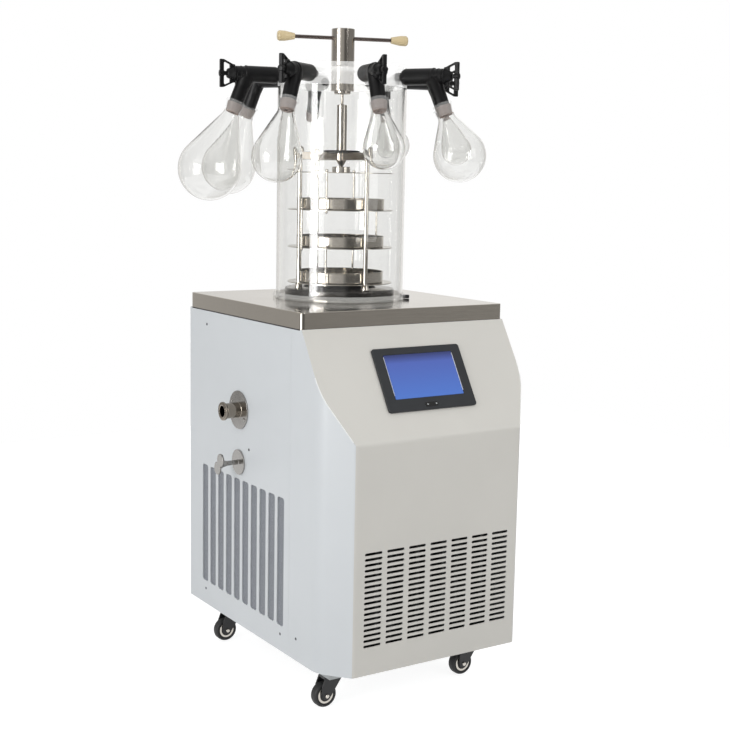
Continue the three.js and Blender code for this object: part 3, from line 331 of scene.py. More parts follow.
class Net:
    """Short ways to add and join the nodes of one tree."""

    def __init__(self, tree):
        self.tree = tree

    def node(self, kind, **facts):
        """A new node. A fact that names an input sets it or joins it; others are settings."""
        node = self.tree.nodes.new("ShaderNode" + kind)
        for name, value in facts.items():
            key = name.replace("_", " ")
            if name.startswith("in_"):
                self.feed(value, node.inputs[int(name[3:])])
            elif key in node.inputs:
                self.feed(value, node.inputs[key])
            else:
                setattr(node, name, value)
        return node

    def feed(self, value, socket):
        """Joins another node's output to a socket, or sets the socket's own value."""
        if isinstance(value, bpy.types.NodeSocket):
            self.tree.links.new(value, socket)
        else:
            socket.default_value = value

    def math(self, operation, first, second=0.0):
        """One Math node's result."""
        return self.node("Math", operation=operation, in_0=first, in_1=second).outputs[0]

    def blend(self, share, first, second):
        """A mix of two colours by a share of 0 to 1."""
        node = self.node("Mix", data_type="RGBA")
        self.feed(share, node.inputs["Factor"])
        self.feed(first, node.inputs[6])
        self.feed(second, node.inputs[7])
        return node.outputs[2]

    def spread(self, value, low, high, to_low=0.0, to_high=1.0):
        """A value carried from one range to another, and held to it."""
        node = self.node("MapRange", in_0=value, in_1=low, in_2=high, in_3=to_low, in_4=to_high)
        return node.outputs[0]


def effect(name, inputs, outputs, build):
    """A shared effect, built once: a node group with named inputs and outputs. build gets
    the net and the inputs' sockets, and returns the outputs' sources in order."""
    group = bpy.data.node_groups.get(name)
    if group:
        return group
    group = bpy.data.node_groups.new(name, "ShaderNodeTree")
    for label, start in inputs.items():
        kind = "NodeSocketFloat" if isinstance(start, float) else "NodeSocketVector"
        socket = group.interface.new_socket(name=label, in_out="INPUT", socket_type=kind)
        socket.default_value = start
    for label, kind in outputs.items():
        group.interface.new_socket(name=label, in_out="OUTPUT", socket_type="NodeSocket" + kind)
    net = Net(group)
    entry, leave = group.nodes.new("NodeGroupInput"), group.nodes.new("NodeGroupOutput")
    for source, target in zip(build(net, entry.outputs), leave.inputs):
        group.links.new(source, target)
    return group


def grain_effect():
    """Fine scratches drawn out along the axis whose stretch is smallest."""

    def build(net, inputs):
        drawn = net.node("VectorMath", operation="MULTIPLY", in_0=inputs[0], in_1=inputs[1])
        lines = net.node("TexNoise", Vector=drawn.outputs[0], Scale=1.0, Detail=4.0)
        value = net.spread(lines.outputs[0], 0.3, 0.7)
        bump = net.node("Bump", Strength=inputs[2], Distance=0.0002, Height=value)
        return value, bump.outputs[0]

    facts = {"Vector": (0.0, 0.0, 0.0), "Stretch": (30.0, 900.0, 900.0), "Depth": 0.1}
    return effect("Brushed grain", facts, {"Value": "Float", "Normal": "Vector"}, build)


def texture_effect():
    """The even, fine pebble of powder paint or of a spark-eroded mould."""

    def build(net, inputs):
        coarse = net.node("TexNoise", Vector=inputs[0], Scale=inputs[1], Detail=2.0)
        fine_scale = net.math("MULTIPLY", inputs[1], 3.7)
        fine = net.node("TexNoise", Vector=inputs[0], Scale=fine_scale, Detail=2.0)
        both = net.math("ADD", coarse.outputs[0], net.math("MULTIPLY", fine.outputs[0], 0.4))
        value = net.spread(both, 0.45, 0.95)
        bump = net.node("Bump", Strength=inputs[2], Distance=0.0003, Height=value)
        return value, bump.outputs[0]

    facts = {"Vector": (0.0, 0.0, 0.0), "Scale": 700.0, "Depth": 0.15}
    return effect("Pebble texture", facts, {"Value": "Float", "Normal": "Vector"}, build)


def cloud_effect():
    """Slow, cloudy change over a surface, as handling and polishing leave."""

    def build(net, inputs):
        wide = net.node("TexNoise", Vector=inputs[0], Scale=inputs[1], Detail=3.0, Roughness=0.6)
        return (net.spread(wide.outputs[0], 0.3, 0.7),)

    facts = {"Vector": (0.0, 0.0, 0.0), "Scale": 7.0}
    return effect("Handling marks", facts, {"Value": "Float"}, build)


def wear_effect():
    """Rubbed edges: where a normal that is averaged over the radius leans away from the
    true one, broken up by noise."""

    def build(net, inputs):
        soft = net.node("Bevel", Radius=inputs[1])
        true = net.node("NewGeometry")
        lean = net.node(
            "VectorMath", operation="DOT_PRODUCT", in_0=soft.outputs[0], in_1=true.outputs["Normal"]
        )
        edge = net.spread(lean.outputs["Value"], 0.995, 0.86)
        breaks = net.node("TexNoise", Vector=inputs[0], Scale=240.0, Detail=3.0)
        patchy = net.math("MULTIPLY", edge, net.spread(breaks.outputs[0], 0.4, 0.65))
        return (net.math("MULTIPLY", patchy, inputs[2]),)

    facts = {"Vector": (0.0, 0.0, 0.0), "Radius": 0.0015, "Amount": 0.5}
    return effect("Edge wear", facts, {"Mask": "Float"}, build)


# pi times root 2, which puts a ridge at every half pitch along each diagonal.
DIAGONAL_TURN = 4.443


def weave_effect():
    """Plain wire weave on the diagonal: two sets of sine ridges at right angles."""

    def build(net, inputs):
        parts = net.node("SeparateXYZ", Vector=inputs[0])
        first = net.math("ADD", parts.outputs[1], parts.outputs[2])
        second = net.math("SUBTRACT", parts.outputs[1], parts.outputs[2])
        turns = net.math("DIVIDE", DIAGONAL_TURN, inputs[1])
        highlight_beads = [
            net.math("ABSOLUTE", net.math("SINE", net.math("MULTIPLY", line, turns)))
            for line in (first, second)
        ]
        height = net.math("MAXIMUM", *highlight_beads)
        return net.spread(height, 0.72, 0.92), height

    facts = {"Vector": (0.0, 0.0, 0.0), "Pitch": 0.0032}
    return effect("Wire weave", facts, {"Wire": "Float", "Height": "Float"}, build)


# ---------------------------------------------------------------- finishes


class Finish(Net):
    """A material with one Principled shader. Constants go on the shader's own sockets."""

    def __init__(self, name, **plain):
        self.material = bpy.data.materials.new(name)
        self.material.use_nodes = True
        super().__init__(self.material.node_tree)
        self.shader = self.tree.nodes["Principled BSDF"]
        self.place = self.node("TexCoord").outputs["Object"]
        for key, value in plain.items():
            self.shader.inputs[key.replace("_", " ")].default_value = value

    def use(self, group, **values):
        """A shared effect placed in this material with its own values."""
        node = self.node("Group", node_tree=group)
        self.feed(self.place, node.inputs["Vector"])
        for key, value in values.items():
            self.feed(value, node.inputs[key])
        return node.outputs

    def drive(self, **sources):
        """Joins sources to the shader's inputs."""
        for key, source in sources.items():
            self.feed(source, self.shader.inputs[key.replace("_", " ")])


def paint(name, colour, roughness):
    """Powder paint: orange peel, faint clouds in tone and gloss, rubbed edges."""
    finish = Finish(name)
    peel = finish.use(texture_effect(), Scale=520.0, Depth=0.10)
    cloud = finish.use(cloud_effect(), Scale=5.0)
    wear = finish.use(wear_effect(), Radius=0.0012, Amount=0.35)
    tone = finish.blend(cloud["Value"], colour, toned(colour, 0.965))
    finish.drive(
        Base_Color=finish.blend(wear["Mask"], tone, toned(colour, 1.18)),
        Roughness=finish.spread(cloud["Value"], 0, 1, roughness - 0.03, roughness + 0.05),
        Normal=peel["Normal"],
    )
    return finish.material


def metal(name, colour, roughness, stretch, depth, spread=0.06):
    """Steel with drawn grain: grain moves tone and gloss, clouds and edges polish it."""
    finish = Finish(name, Metallic=1.0)
    grain = finish.use(grain_effect(), Stretch=stretch, Depth=depth)
    cloud = finish.use(cloud_effect(), Scale=9.0)
    rub = finish.use(wear_effect(), Radius=0.001, Amount=0.3)
    tone = finish.blend(grain["Value"], toned(colour, 0.9), colour)
    gloss = finish.math("ADD", finish.math("MULTIPLY", grain["Value"], 0.6), cloud["Value"])
    finish.drive(
        Base_Color=finish.blend(rub["Mask"], tone, toned(colour, 1.25)),
        Roughness=finish.spread(gloss, 0, 1.6, max(0.02, roughness - spread), roughness + spread),
        Normal=grain["Normal"],
    )
    return finish.material


def moulded(name, colour, roughness, scale, depth, wear, lift=1.6, shine=0.5):
    """Moulded plastic or rubber: fine pebble, handling marks and paler rubbed edges, which
    are the colour's own brightness times lift."""
    finish = Finish(name, Specular_IOR_Level=shine)
    pebble = finish.use(texture_effect(), Scale=scale, Depth=depth)
    cloud = finish.use(cloud_effect(), Scale=22.0)
    rub = finish.use(wear_effect(), Radius=0.0012, Amount=wear)
    tone = finish.blend(cloud["Value"], toned(colour, 0.85), colour)
    finish.drive(
        Base_Color=finish.blend(rub["Mask"], tone, toned(colour, lift, 0.01)),
        Roughness=finish.spread(cloud["Value"], 0, 1, roughness - 0.06, roughness + 0.06),
        Normal=pebble["Normal"],
    )
    return finish.material


def clear(name, colour, index, clouds, shine=0.5):
    """Clear glass or plastic that lets lamps through to what stands behind it. Its clouds
    are the roughness that handling adds in places."""
    finish = Finish(name, Transmission_Weight=1.0, IOR=index, Specular_IOR_Level=shine)
    cloud = finish.use(cloud_effect(), Scale=14.0)
    finish.drive(
        Base_Color=finish.blend(cloud["Value"], toned(colour, 0.985), colour),
        Roughness=finish.spread(cloud["Value"], 0, 1, 0, clouds),
    )
    lamps = finish.node("BsdfTransparent", Color=toned(colour, 0.97))
    mixed = finish.node("MixShader")
    finish.feed(finish.node("LightPath").outputs["Is Shadow Ray"], mixed.inputs[0])
    finish.feed(finish.shader.outputs[0], mixed.inputs[1])
    finish.feed(lamps.outputs[0], mixed.inputs[2])
    finish.feed(mixed.outputs[0], finish.tree.nodes["Material Output"].inputs[0])
    return finish.material


def milky(name, colour, cover, glow=0.0):
    """Thin translucent plastic or ground glass: each skin covers a share of what lies behind it.
    Its glow is a set emission, painted light that brightens it."""
    finish = Finish(name, IOR=1.45, Emission_Color=colour, Emission_Strength=glow)
    cloud = finish.use(cloud_effect(), Scale=11.0)
    finish.drive(
        Base_Color=finish.blend(cloud["Value"], toned(colour, 0.98), colour),
        Roughness=finish.spread(cloud["Value"], 0, 1, 0.3, 0.42),
        Alpha=finish.spread(cloud["Value"], 0, 1, cover, cover * 1.15),
    )
    return finish.material


def wire_mesh(name, wire, gap, pitch):
    """Woven wire; the colour between the wires is painted shade for the dark inside."""
    finish = Finish(name)
    weave = finish.use(weave_effect(), Pitch=pitch)
    bump = finish.node("Bump", Strength=0.6, Distance=0.0006, Height=weave["Height"])
    finish.drive(
        Base_Color=finish.blend(weave["Wire"], gap, wire),
        Roughness=finish.spread(weave["Wire"], 0, 1, 0.8, 0.42),
        Normal=bump.outputs[0],
    )
    return finish.material


def zinc(name, colour):
    """Galvanised sheet: pale and dark crystal patches under a dull bloom."""
    finish = Finish(name, Metallic=1.0)
    flakes = finish.node("TexVoronoi", Vector=finish.place, Scale=120.0)
    tint = finish.node("SeparateColor", Color=flakes.outputs["Color"]).outputs[0]
    cloud = finish.use(cloud_effect(), Scale=12.0)
    bloom = finish.math("ADD", tint, cloud["Value"])
    finish.drive(
        Base_Color=finish.blend(tint, toned(colour, 0.87), colour),
        Roughness=finish.spread(bloom, 0, 2, 0.42, 0.54),
    )
    return finish.material


def lit_screen(name, low, high, glow):
    """A backlit panel behind glass: a tone that runs from one at its foot to another at its
    head, darkened under the top edge by painted shade from the recess, with faint fingermarks."""
    finish = Finish(name, IOR=1.5, Emission_Strength=glow)
    height = finish.node("SeparateXYZ", Vector=finish.place).outputs[2]
    share = finish.spread(height, DISPLAY_LOW[2] * MM, DISPLAY_HIGH[2] * MM)
    tone = finish.blend(share, low, high)
    # Painted shade: the top of the display darkens as the recess above it would shade it.
    painted_top_shade = finish.spread(share, 0.80, 0.99)
    tone = finish.blend(painted_top_shade, tone, toned(high, 0.35))
    cloud = finish.use(cloud_effect(), Scale=26.0)
    finish.drive(
        Base_Color=tone,
        Emission_Color=tone,
        Roughness=finish.spread(cloud["Value"], 0, 1, 0.08, 0.16),
    )
    return finish.material


def sizes():
    """The sidebar's settings."""
    return bpy.context.scene.freeze_dryer


def grained(colour, roughness, stretch, depth, **others):
    """The facts of a steel finish: the grain is drawn out along the axis of least stretch."""
    facts = dict(roughness=roughness, stretch=stretch, depth=depth)
    return metal, dict(colour=linear(*colour), **facts, **others)


def pebbled(colour, roughness, scale, depth=0.12, wear=0.25, **others):
    """The facts of a moulded finish: how fine and deep its pebble is, and how rubbed."""
    facts = dict(roughness=roughness, scale=scale, depth=depth, wear=wear)
    return moulded, dict(colour=linear(*colour), **facts, **others)


# How each finish is made: its kind and that kind's facts.
FINISH_SHEET = {
    # A pale paint for the beads along the front cover's folds: a painted highlight.
    "crease paint": (paint, dict(colour=linear(238, 239, 238), roughness=0.3)),
    "table steel": grained((196, 190, 181), 0.11, (25.0, 700.0, 700.0), 0.04),
    "polished steel": grained((205, 200, 192), 0.09, (600.0, 600.0, 60.0), 0.02, spread=0.04),
    "turned steel": grained((178, 172, 164), 0.16, (40.0, 40.0, 1500.0), 0.05),
    "port steel": grained((158, 156, 153), 0.22, (1500.0, 60.0, 60.0), 0.05),
    "tube steel": grained((146, 138, 128), 0.10, (1500.0, 60.0, 60.0), 0.03),
    "dark steel": grained((90, 88, 86), 0.10, (500.0, 500.0, 50.0), 0.02, spread=0.05),
    "bar steel": grained((112, 102, 98), 0.3, (60.0, 60.0, 60.0), 0.02),
    "dark screw": grained((96, 98, 102), 0.35, (900.0, 900.0, 900.0), 0.05),
    "zinc sheet": (zinc, dict(colour=linear(160, 163, 164))),
    "dark unit": pebbled((38, 38, 40), 0.5, 300.0),
    "valve black": pebbled((15, 15, 16), 0.38, 1300.0, 0.08, 0.15, shine=0.22),
    "black rubber": pebbled((30, 30, 31), 0.55, 700.0, wear=0.2),
    "tyre rubber": pebbled((34, 34, 35), 0.6, 420.0, 0.2, 0.35),
    "caster black": pebbled((26, 26, 28), 0.38, 600.0, 0.08, 0.3),
    "stopper rubber": pebbled((116, 100, 92), 0.6, 900.0, 0.1, 0.2, lift=1.2),
    "ivory grip": pebbled((208, 189, 148), 0.35, 500.0, 0.05, 0.3, lift=1.1),
    "bezel plastic": pebbled((44, 46, 49), 0.42, 1500.0, 0.08, shine=0.35),
    "port cover black": pebbled((9, 9, 10), 0.3, 900.0, 0.05),
    "indicator pale": pebbled((205, 208, 210), 0.3, 900.0, 0.02),
    # Pale plastic for the strips inside the bezel: a painted highlight.
    "bright edge": pebbled((215, 218, 224), 0.25, 900.0, 0.02),
    # The dark colour between the wires is painted shade for the cabinet's inside.
    "vent mesh": (
        wire_mesh, dict(wire=linear(152, 156, 163), gap=linear(70, 73, 80), pitch=0.0048)
    ),
    "chamber clear": (
        clear, dict(colour=linear(248, 248, 247), index=1.49, clouds=0.015, shine=1.0)
    ),
    "flask glass": (clear, dict(colour=linear(247, 247, 246), index=1.42, clouds=0.01)),
    "clear seal": (milky, dict(colour=linear(232, 232, 229), cover=0.2)),
    # The frosted lid's glow is painted light that makes it brighter.
    "lid frosted": (milky, dict(colour=linear(252, 252, 251), cover=0.24, glow=0.32)),
    "ground glass": (milky, dict(colour=linear(238, 238, 236), cover=0.10)),
}
FINISHES = {}


def finish_of(name):
    """A finish of this machine by its plain name, made on first use. The three that follow
    the sidebar's colours are added to the sheet here."""
    if name not in FINISHES:
        coat, screen = sizes().paint, sizes().screen
        chosen = {
            "side paint": (paint, dict(colour=(*coat.side, 1.0), roughness=0.42)),
            "front paint": (paint, dict(colour=(*coat.front, 1.0), roughness=0.40)),
            "screen blue": (
                lit_screen,
                dict(low=(*screen.low, 1.0), high=(*screen.high, 1.0), glow=screen.glow),
            ),
        }
        kind, facts = {**FINISH_SHEET, **chosen}[name]
        FINISHES[name] = kind(name.replace(" ", "_"), **facts)
    return FINISHES[name]


# ---------------------------------------------------------------- settings


class StageSettings(PropertyGroup):
    """Lamps and background."""

    background: FloatProperty(
        name="Background", description="Brightness of the white background", default=1.0, min=0
    )
    fill: FloatProperty(
        name="Fill", description="Even light from all round", default=0.70, min=0
    )
    key_power: FloatProperty(
        name="Key lamp", description="Power of the large lamp on the left", default=14, unit="POWER"
    )
    top_power: FloatProperty(
        name="Top lamp", description="Power of the lamp overhead", default=12, unit="POWER"
    )
    front_power: FloatProperty(
        name="Front lamp", description="Power of the lamp in front", default=38, unit="POWER"
    )
    left_power: FloatProperty(
        name="Left", description="Power of the lamp beside the object", default=27, unit="POWER"
    )
    spot_power: FloatProperty(
        name="Spots", description="Power of each of the two small lamps", default=9, unit="POWER"
    )
    strip_power: FloatProperty(
        name="Strip lamp", description="Power of the tall narrow lamp", default=40, unit="POWER"
    )


class PaintSettings(PropertyGroup):
    """Cabinet colours."""

    # The side and front colours are partly the paints' own and partly painted light, the tone that
    # falls on sideways and forward faces.
    side: FloatVectorProperty(
        name="Side colour", description="Paint on the two side covers", subtype="COLOR",
        default=linear(209, 213, 216)[:3], min=0, max=1,
    )
    front: FloatVectorProperty(
        name="Front colour", description="Paint on the front cover", subtype="COLOR",
        default=linear(205, 203, 197)[:3], min=0, max=1,
    )
    slot_end: FloatProperty(
        name="Slot end radius", description="Rounding of the grille slots' ends",
        default=0.0026, min=0, unit="LENGTH",
    )


class ScreenSettings(PropertyGroup):
    """Touch screen."""

    low: FloatVectorProperty(
        name="Lower colour", description="Colour at the foot of the display", subtype="COLOR",
        default=linear(70, 108, 186)[:3], min=0, max=1,
    )
    high: FloatVectorProperty(
        name="Upper colour", description="Colour at the head of the display", subtype="COLOR",
        default=linear(70, 86, 160)[:3], min=0, max=1,
    )
    glow: FloatProperty(
        name="Glow", description="Strength of the backlight", default=0.2, min=0
    )


class PressSettings(PropertyGroup):
    """Stoppering press."""

    hub_radius: FloatProperty(
        name="Hub radius", description="Radius of the handle's hub", default=0.025, unit="LENGTH"
    )
    bar_turn: FloatProperty(
        name="Bar direction", description="Direction in which the bar points at rest",
        default=math.radians(-19), unit="ROTATION",
    )


class ValveSettings(PropertyGroup):
    """Valves on the lid."""

    first: FloatProperty(
        name="First direction", description="Direction of the first valve", unit="ROTATION",
        default=math.radians(-14),
    )
    tilt: FloatProperty(
        name="Leg tilt", description="Lean of each leg away from the chamber", unit="ROTATION",
        default=math.radians(22),
    )
    reach: FloatProperty(
        name="Leg distance", description="Distance of each leg's root from the chamber's axis",
        default=0.212, unit="LENGTH",
    )


class FlaskSettings(PropertyGroup):
    """Glass flasks."""

    wall: FloatProperty(
        name="Wall", description="Thickness of the glass", default=0.002, unit="LENGTH"
    )
    around: IntProperty(
        name="Facets", description="Faces round each flask", default=80, min=24, max=160
    )


class DryerSettings(PropertyGroup):
    """All settings of the machine."""

    stage: PointerProperty(type=StageSettings)
    paint: PointerProperty(type=PaintSettings)
    screen: PointerProperty(type=ScreenSettings)
    press: PointerProperty(type=PressSettings)
    valves: PointerProperty(type=ValveSettings)
    flasks: PointerProperty(type=FlaskSettings)


# ---------------------------------------------------------------- stage

# The camera's place from the middle of the table top, in millimetres, and its turn.
CAMERA_PLACE = (-1506.85, -2402.37, 261.84)
CAMERA_TURN = (81.7398, -1.0480, -32.9941)
FOCAL_LENGTH, SENSOR_WIDTH = 63.4014, 36.0

# Brightness of the studio's walls as polished things mirror them: direction in degrees from
# +X, and level. WALL_WARMTH is what each channel keeps of the level.
STUDIO_WALLS = (
    (-176, 0.95), (-146, 0.95), (-139, 0.62), (-116, 0.55), (-104, 0.16), (-66, 0.14),
    (-60, 0.34), (-46, 0.36), (10, 0.36), (36, 0.92), (56, 0.92), (70, 0.70), (100, 0.86),
    (118, 0.48), (158, 0.42), (170, 0.6),
)
WALL_WARMTH = np.array([1, 0.985, 0.96])
CEILING = (0.85, 0.85, 0.85, 1)

# Lamps, in metres: name, place, height of the point on the Z axis that each faces, width,
# height, the setting of its power, and whether it is there only to be mirrored.
LAMPS = (
    ("key", (-3.2, -1.4, 2.9), 0.8, 2.6, 2.6, "key_power", False),
    ("top", (0.4, -0.6, 4.0), 0.6, 3.0, 3.0, "top_power", False),
    ("front", (1.6, -3.6, 1.8), 0.7, 2.2, 2.2, "front_power", False),
    ("left", (-2.88, -0.9, 1.05), 1.0, 1.15, 1.7, "left_power", False),
    ("left spot", (-2.8, -1.1, 1.4), 1.1, 0.3, 0.45, "spot_power", True),
    ("front spot", (0.8, -2.9, 2.1), 1.1, 0.3, 0.3, "spot_power", True),
    ("strip", (-2.95, -0.52, 1.05), 1.0, 0.76, 1.7, "strip_power", True),
)

FLOOR_REACH = 2.6
FLOOR_TONES = (0.37, 0.37, 0.37, 1), (0.4, 0.4, 0.4, 1)
FLOOR_GLOW = 0.84


def area_lamp(name, place, target, width, height, power, mirrored):
    """A rectangular lamp at a place in metres that faces a height on the Z axis. A mirrored
    one is there only for polished things to show, and the others only light the object."""
    lamp = bpy.data.lights.new(name, "AREA")
    lamp.shape, lamp.size, lamp.size_y, lamp.energy = "RECTANGLE", width, height, power
    holder = bpy.data.objects.new(name, lamp)
    bpy.context.scene.collection.objects.link(holder)
    back = np.array(place, float) - np.array([0, 0, target], float)
    back /= np.linalg.norm(back)
    side = np.cross([0, 0, 1], back)
    side /= np.linalg.norm(side)
    up = np.cross(back, side)
    matrix = np.eye(4)
    matrix[:3, :3] = np.column_stack([side, up, back])
    matrix[:3, 3] = place
    holder.matrix_world = Matrix(matrix.tolist())
    holder.visible_glossy = mirrored
    holder.visible_diffuse = not mirrored


def studio_world(stage):
    """The surroundings: white as the camera sees them, even fill for matt things, and walls
    of uneven brightness under a plain ceiling for polished ones."""
    world = bpy.data.worlds.new("studio")
    world.use_nodes = True
    net = Net(world.node_tree)
    path = net.node("LightPath").outputs
    towards = net.node("SeparateXYZ", Vector=net.node("TexCoord").outputs["Generated"])
    azimuth = net.math("ARCTAN2", towards.outputs[1], towards.outputs[0])
    walls = net.node("ValToRGB", Fac=net.spread(azimuth, -math.pi, math.pi))
    stops = walls.color_ramp.elements
    for direction, level in STUDIO_WALLS:
        stops.new((direction + 180) / 360).color = (*level * WALL_WARMTH, 1)
    stops.remove(stops[0])
    stops.remove(stops[-1])
    overhead = net.spread(towards.outputs[2], 0.45, 0.8)
    mirrored = net.blend(overhead, walls.outputs[0], CEILING)
    reflected = net.math("GREATER_THAN", path["Glossy Depth"], 0.5)
    scattered = net.math("GREATER_THAN", path["Diffuse Depth"], 0.5)
    seen = net.blend(reflected, (*[stage.background] * 3, 1), mirrored)
    seen = net.blend(scattered, seen, (*[stage.fill] * 3, 1))
    net.feed(seen, world.node_tree.nodes["Background"].inputs["Color"])
    return world


def white_floor():
    """A pale floor that shows the object's shadow and is lifted to white as it is seen."""
    mesh = bpy.data.meshes.new("floor")
    corners = [(-1, -1, 0), (1, -1, 0), (1, 1, 0), (-1, 1, 0)]
    mesh.from_pydata(FLOOR_REACH * np.array(corners), [], [[0, 1, 2, 3]])
    surface = Finish("floor_white", Roughness=0.9, Emission_Color=(1, 1, 1, 1))
    cloud = surface.use(cloud_effect(), Scale=1.5)
    light = surface.node("LightPath").outputs
    seen = surface.math("MAXIMUM", light["Is Camera Ray"], light["Is Glossy Ray"])
    seen = surface.math("MAXIMUM", seen, light["Is Transmission Ray"])
    surface.drive(
        Base_Color=surface.blend(cloud["Value"], *FLOOR_TONES),
        Emission_Strength=surface.math("MULTIPLY", seen, FLOOR_GLOW),
    )
    mesh.materials.append(surface.material)
    floor = bpy.data.objects.new("floor", mesh)
    bpy.context.scene.collection.objects.link(floor)


class DRYER_OT_stage(Operator):
    """Make the camera, the lamps, the white surroundings and the floor"""

    bl_idname = "dryer.stage"
    bl_label = "Stage"

    def execute(self, context):
        stage = sizes().stage
        scene = context.scene
        scene.view_settings.view_transform = "Standard"
        lens = bpy.data.cameras.new("camera")
        lens.lens, lens.sensor_width = FOCAL_LENGTH, SENSOR_WIDTH
        lens.clip_start, lens.clip_end = 0.05, 100
        camera = bpy.data.objects.new("camera", lens)
        camera.location = np.add([*MIDDLE[:2], DECK], CAMERA_PLACE) * MM
        camera.rotation_euler = np.radians(CAMERA_TURN)
        scene.collection.objects.link(camera)
        scene.camera = camera
        scene.world = studio_world(stage)
        for name, place, target, width, height, power, mirrored in LAMPS:
            area_lamp(name, place, target, width, height, getattr(stage, power), mirrored)
        white_floor()
        return {"FINISHED"}


# ---------------------------------------------------------------- cabinet

# Front cover, in millimetres from its foot or its sides: the grille's top and its margin,
# how deep its outer skin reaches, and where the pale bead along each fold runs, a painted
# highlight.
GRILLE_TOP, GRILLE_MARGIN = 400, 55
SKIN_DEPTH = 2.2
FOLD_FOOT, FOLD_SIDE = 440, 195
HIGHLIGHT_FROM, HIGHLIGHT_TO, HIGHLIGHT_BEAD_RADIUS = 472, 590, 1.1

# Side covers: the heights between which the left one's windows lie, the reach of the right
# one's outer face from the middle, and the rounding of the edges found there.
WINDOWS_LOW, WINDOWS_HIGH, WINDOW_CORNER = 150, 430, 1.5
REAR_EDGE, REAR_RADIUS = 249, 1.8

# Screw heads of the left side, as (Y, Z) from the middle of the table top.
SIDE_SCREWS = ((167, -65), (171, -674), (-175, -674), (-240, -664), (-34, -312))
SCREW_DOME = [(0, 1.4), (2.4, 0.9, 0.6), (3.4, -0.3), (0, -0.3)]


def slot_corner(a, b):
    """Whether an edge is a short one through the sheet at the end of a grille slot."""
    low = max(a[2], b[2]) < COVER_LOW[2] + GRILLE_TOP
    inside = COVER_LOW[0] + GRILLE_MARGIN < a[0] < COVER_HIGH[0] - GRILLE_MARGIN
    outer = max(a[1], b[1]) < COVER_LOW[1] + SKIN_DEPTH
    return low and inside and outer and abs(a[0] - b[0]) + abs(a[2] - b[2]) < 0.01


def window_corner(a, b):
    """Whether an edge runs through the left sheet at the corner of a window."""
    across = abs(a[1] - b[1]) + abs(a[2] - b[2]) < 0.01
    return across and abs(a[0] - b[0]) < 2.5 and WINDOWS_LOW < a[2] < WINDOWS_HIGH


def rear_edge(a, b):
    """Whether an edge is the right cover's outer one at the back."""
    outer = min(a[0], b[0]) > MIDDLE[0] + REAR_EDGE
    return outer and min(a[1], b[1]) > LEFT_HIGH[1] - 1


def ridge_line(mesh, side):
    """The bent line between a cover's slope and its corner on one side, as points in
    millimetres, read from the edges of the mesh's outer skin."""
    work = bmesh.new()
    work.from_mesh(mesh)
    corners = {}
    for edge in work.edges:
        faces = [face.normal for face in edge.link_faces]
        bent = len(faces) == 2 and edge.calc_face_angle(0) > math.radians(15)
        if bent and max(way.y for way in faces) < 0.02 and max(way.z for way in faces) > 0.3:
            for corner in edge.verts:
                x, y, z = np.array(corner.co) / MM
                if side * (x - MIDDLE[0]) > FOLD_SIDE and z > COVER_LOW[2] + FOLD_FOOT:
                    corners[round(z, 2)] = (x, y, z)
    work.free()
    line = np.array([corners[z] for z in sorted(corners)])
    # Only the stretch of the fold that carries the painted highlight is kept.
    heights = COVER_LOW[2] + np.linspace(HIGHLIGHT_FROM, HIGHLIGHT_TO, 24)
    return np.column_stack([*(np.interp(heights, line[:, 2], line[:, k]) for k in (0, 1)), heights])


class DRYER_OT_cabinet(Operator):
    """Make the painted covers, the vent mesh and the small screws on the left side"""

    bl_idname = "dryer.cabinet"
    bl_label = "Cabinet"

    def execute(self, context):
        cover = eased(
            "front_cover", "front_panel", ["front paint", "side paint"],
            slot_corner, sizes().paint.slot_end / MM, steps=4,
        ).data
        # A pale bead along the fold on each side: a painted highlight.
        highlight_beads = [beaded(ridge_line(cover, side), HIGHLIGHT_BEAD_RADIUS, 10) for side in (-1, 1)]
        made("cover_ridges", highlight_beads, ["crease paint"])
        # Faces of the front cover that face sideways take the side colour, the rest the front
        # colour. The two tones are partly the paints' own and partly painted light: how the light
        # falls on sideways and forward faces.
        facing = np.zeros(len(cover.polygons) * 3)
        cover.polygons.foreach_get("normal", facing)
        facing = facing.reshape(-1, 3)
        sideways = (np.abs(facing[:, 0]) > 0.45) & (facing[:, 2] < 0.45)
        cover.polygons.foreach_set("material_index", sideways.astype(np.int32))
        eased(
            "left_cover", "left_side_panel", ["side paint"],
            window_corner, WINDOW_CORNER,
        )
        eased(
            "right_cover", "right_side_panel", ["side paint"],
            rear_edge, REAR_RADIUS,
        )
        dress("left_vent_mesh", "vent mesh")
        dome = revolved(SCREW_DOME, around=20, steps=3)
        heads = [
            placed(dome, move(LEFT_LOW[0], MIDDLE[1] + y, DECK + z), turn("Y", -90))
            for y, z in SIDE_SCREWS
        ]
        made("side_screws", heads, ["dark screw"])
        return {"FINISHED"}


# The screen's own frame: +Y up the slope, +Z out of it, from the foot of the slope at the
# knee to its head under the table, as (Y, Z).
SLOPE_FOOT, SLOPE_HEAD = np.array([-380.0, 564.0]), np.array([-250.0, 776.7])
UP_SLOPE = (SLOPE_HEAD - SLOPE_FOOT) / np.linalg.norm(SLOPE_HEAD - SLOPE_FOOT)
SCREEN_DROP = 121
SCREEN_MIDDLE = SLOPE_HEAD - SCREEN_DROP * UP_SLOPE
SCREEN_TILT = math.degrees(math.atan2(UP_SLOPE[1], UP_SLOPE[0]))
SCREEN = CABINET @ move(0, *SCREEN_MIDDLE) @ turn("X", SCREEN_TILT)

# The display stands above the bezel's middle, and the socket cover and dots below it.
DISPLAY_RISE = 6
SOCKET_DROP = -58
DOT_SIDES = (-13, 8)
# Two thin pale strips along the inside of the bezel's long sides, at these distances from its
# middle: painted highlights.
PAINTED_GLEAM_SIDES = (-84.6, 84.6)

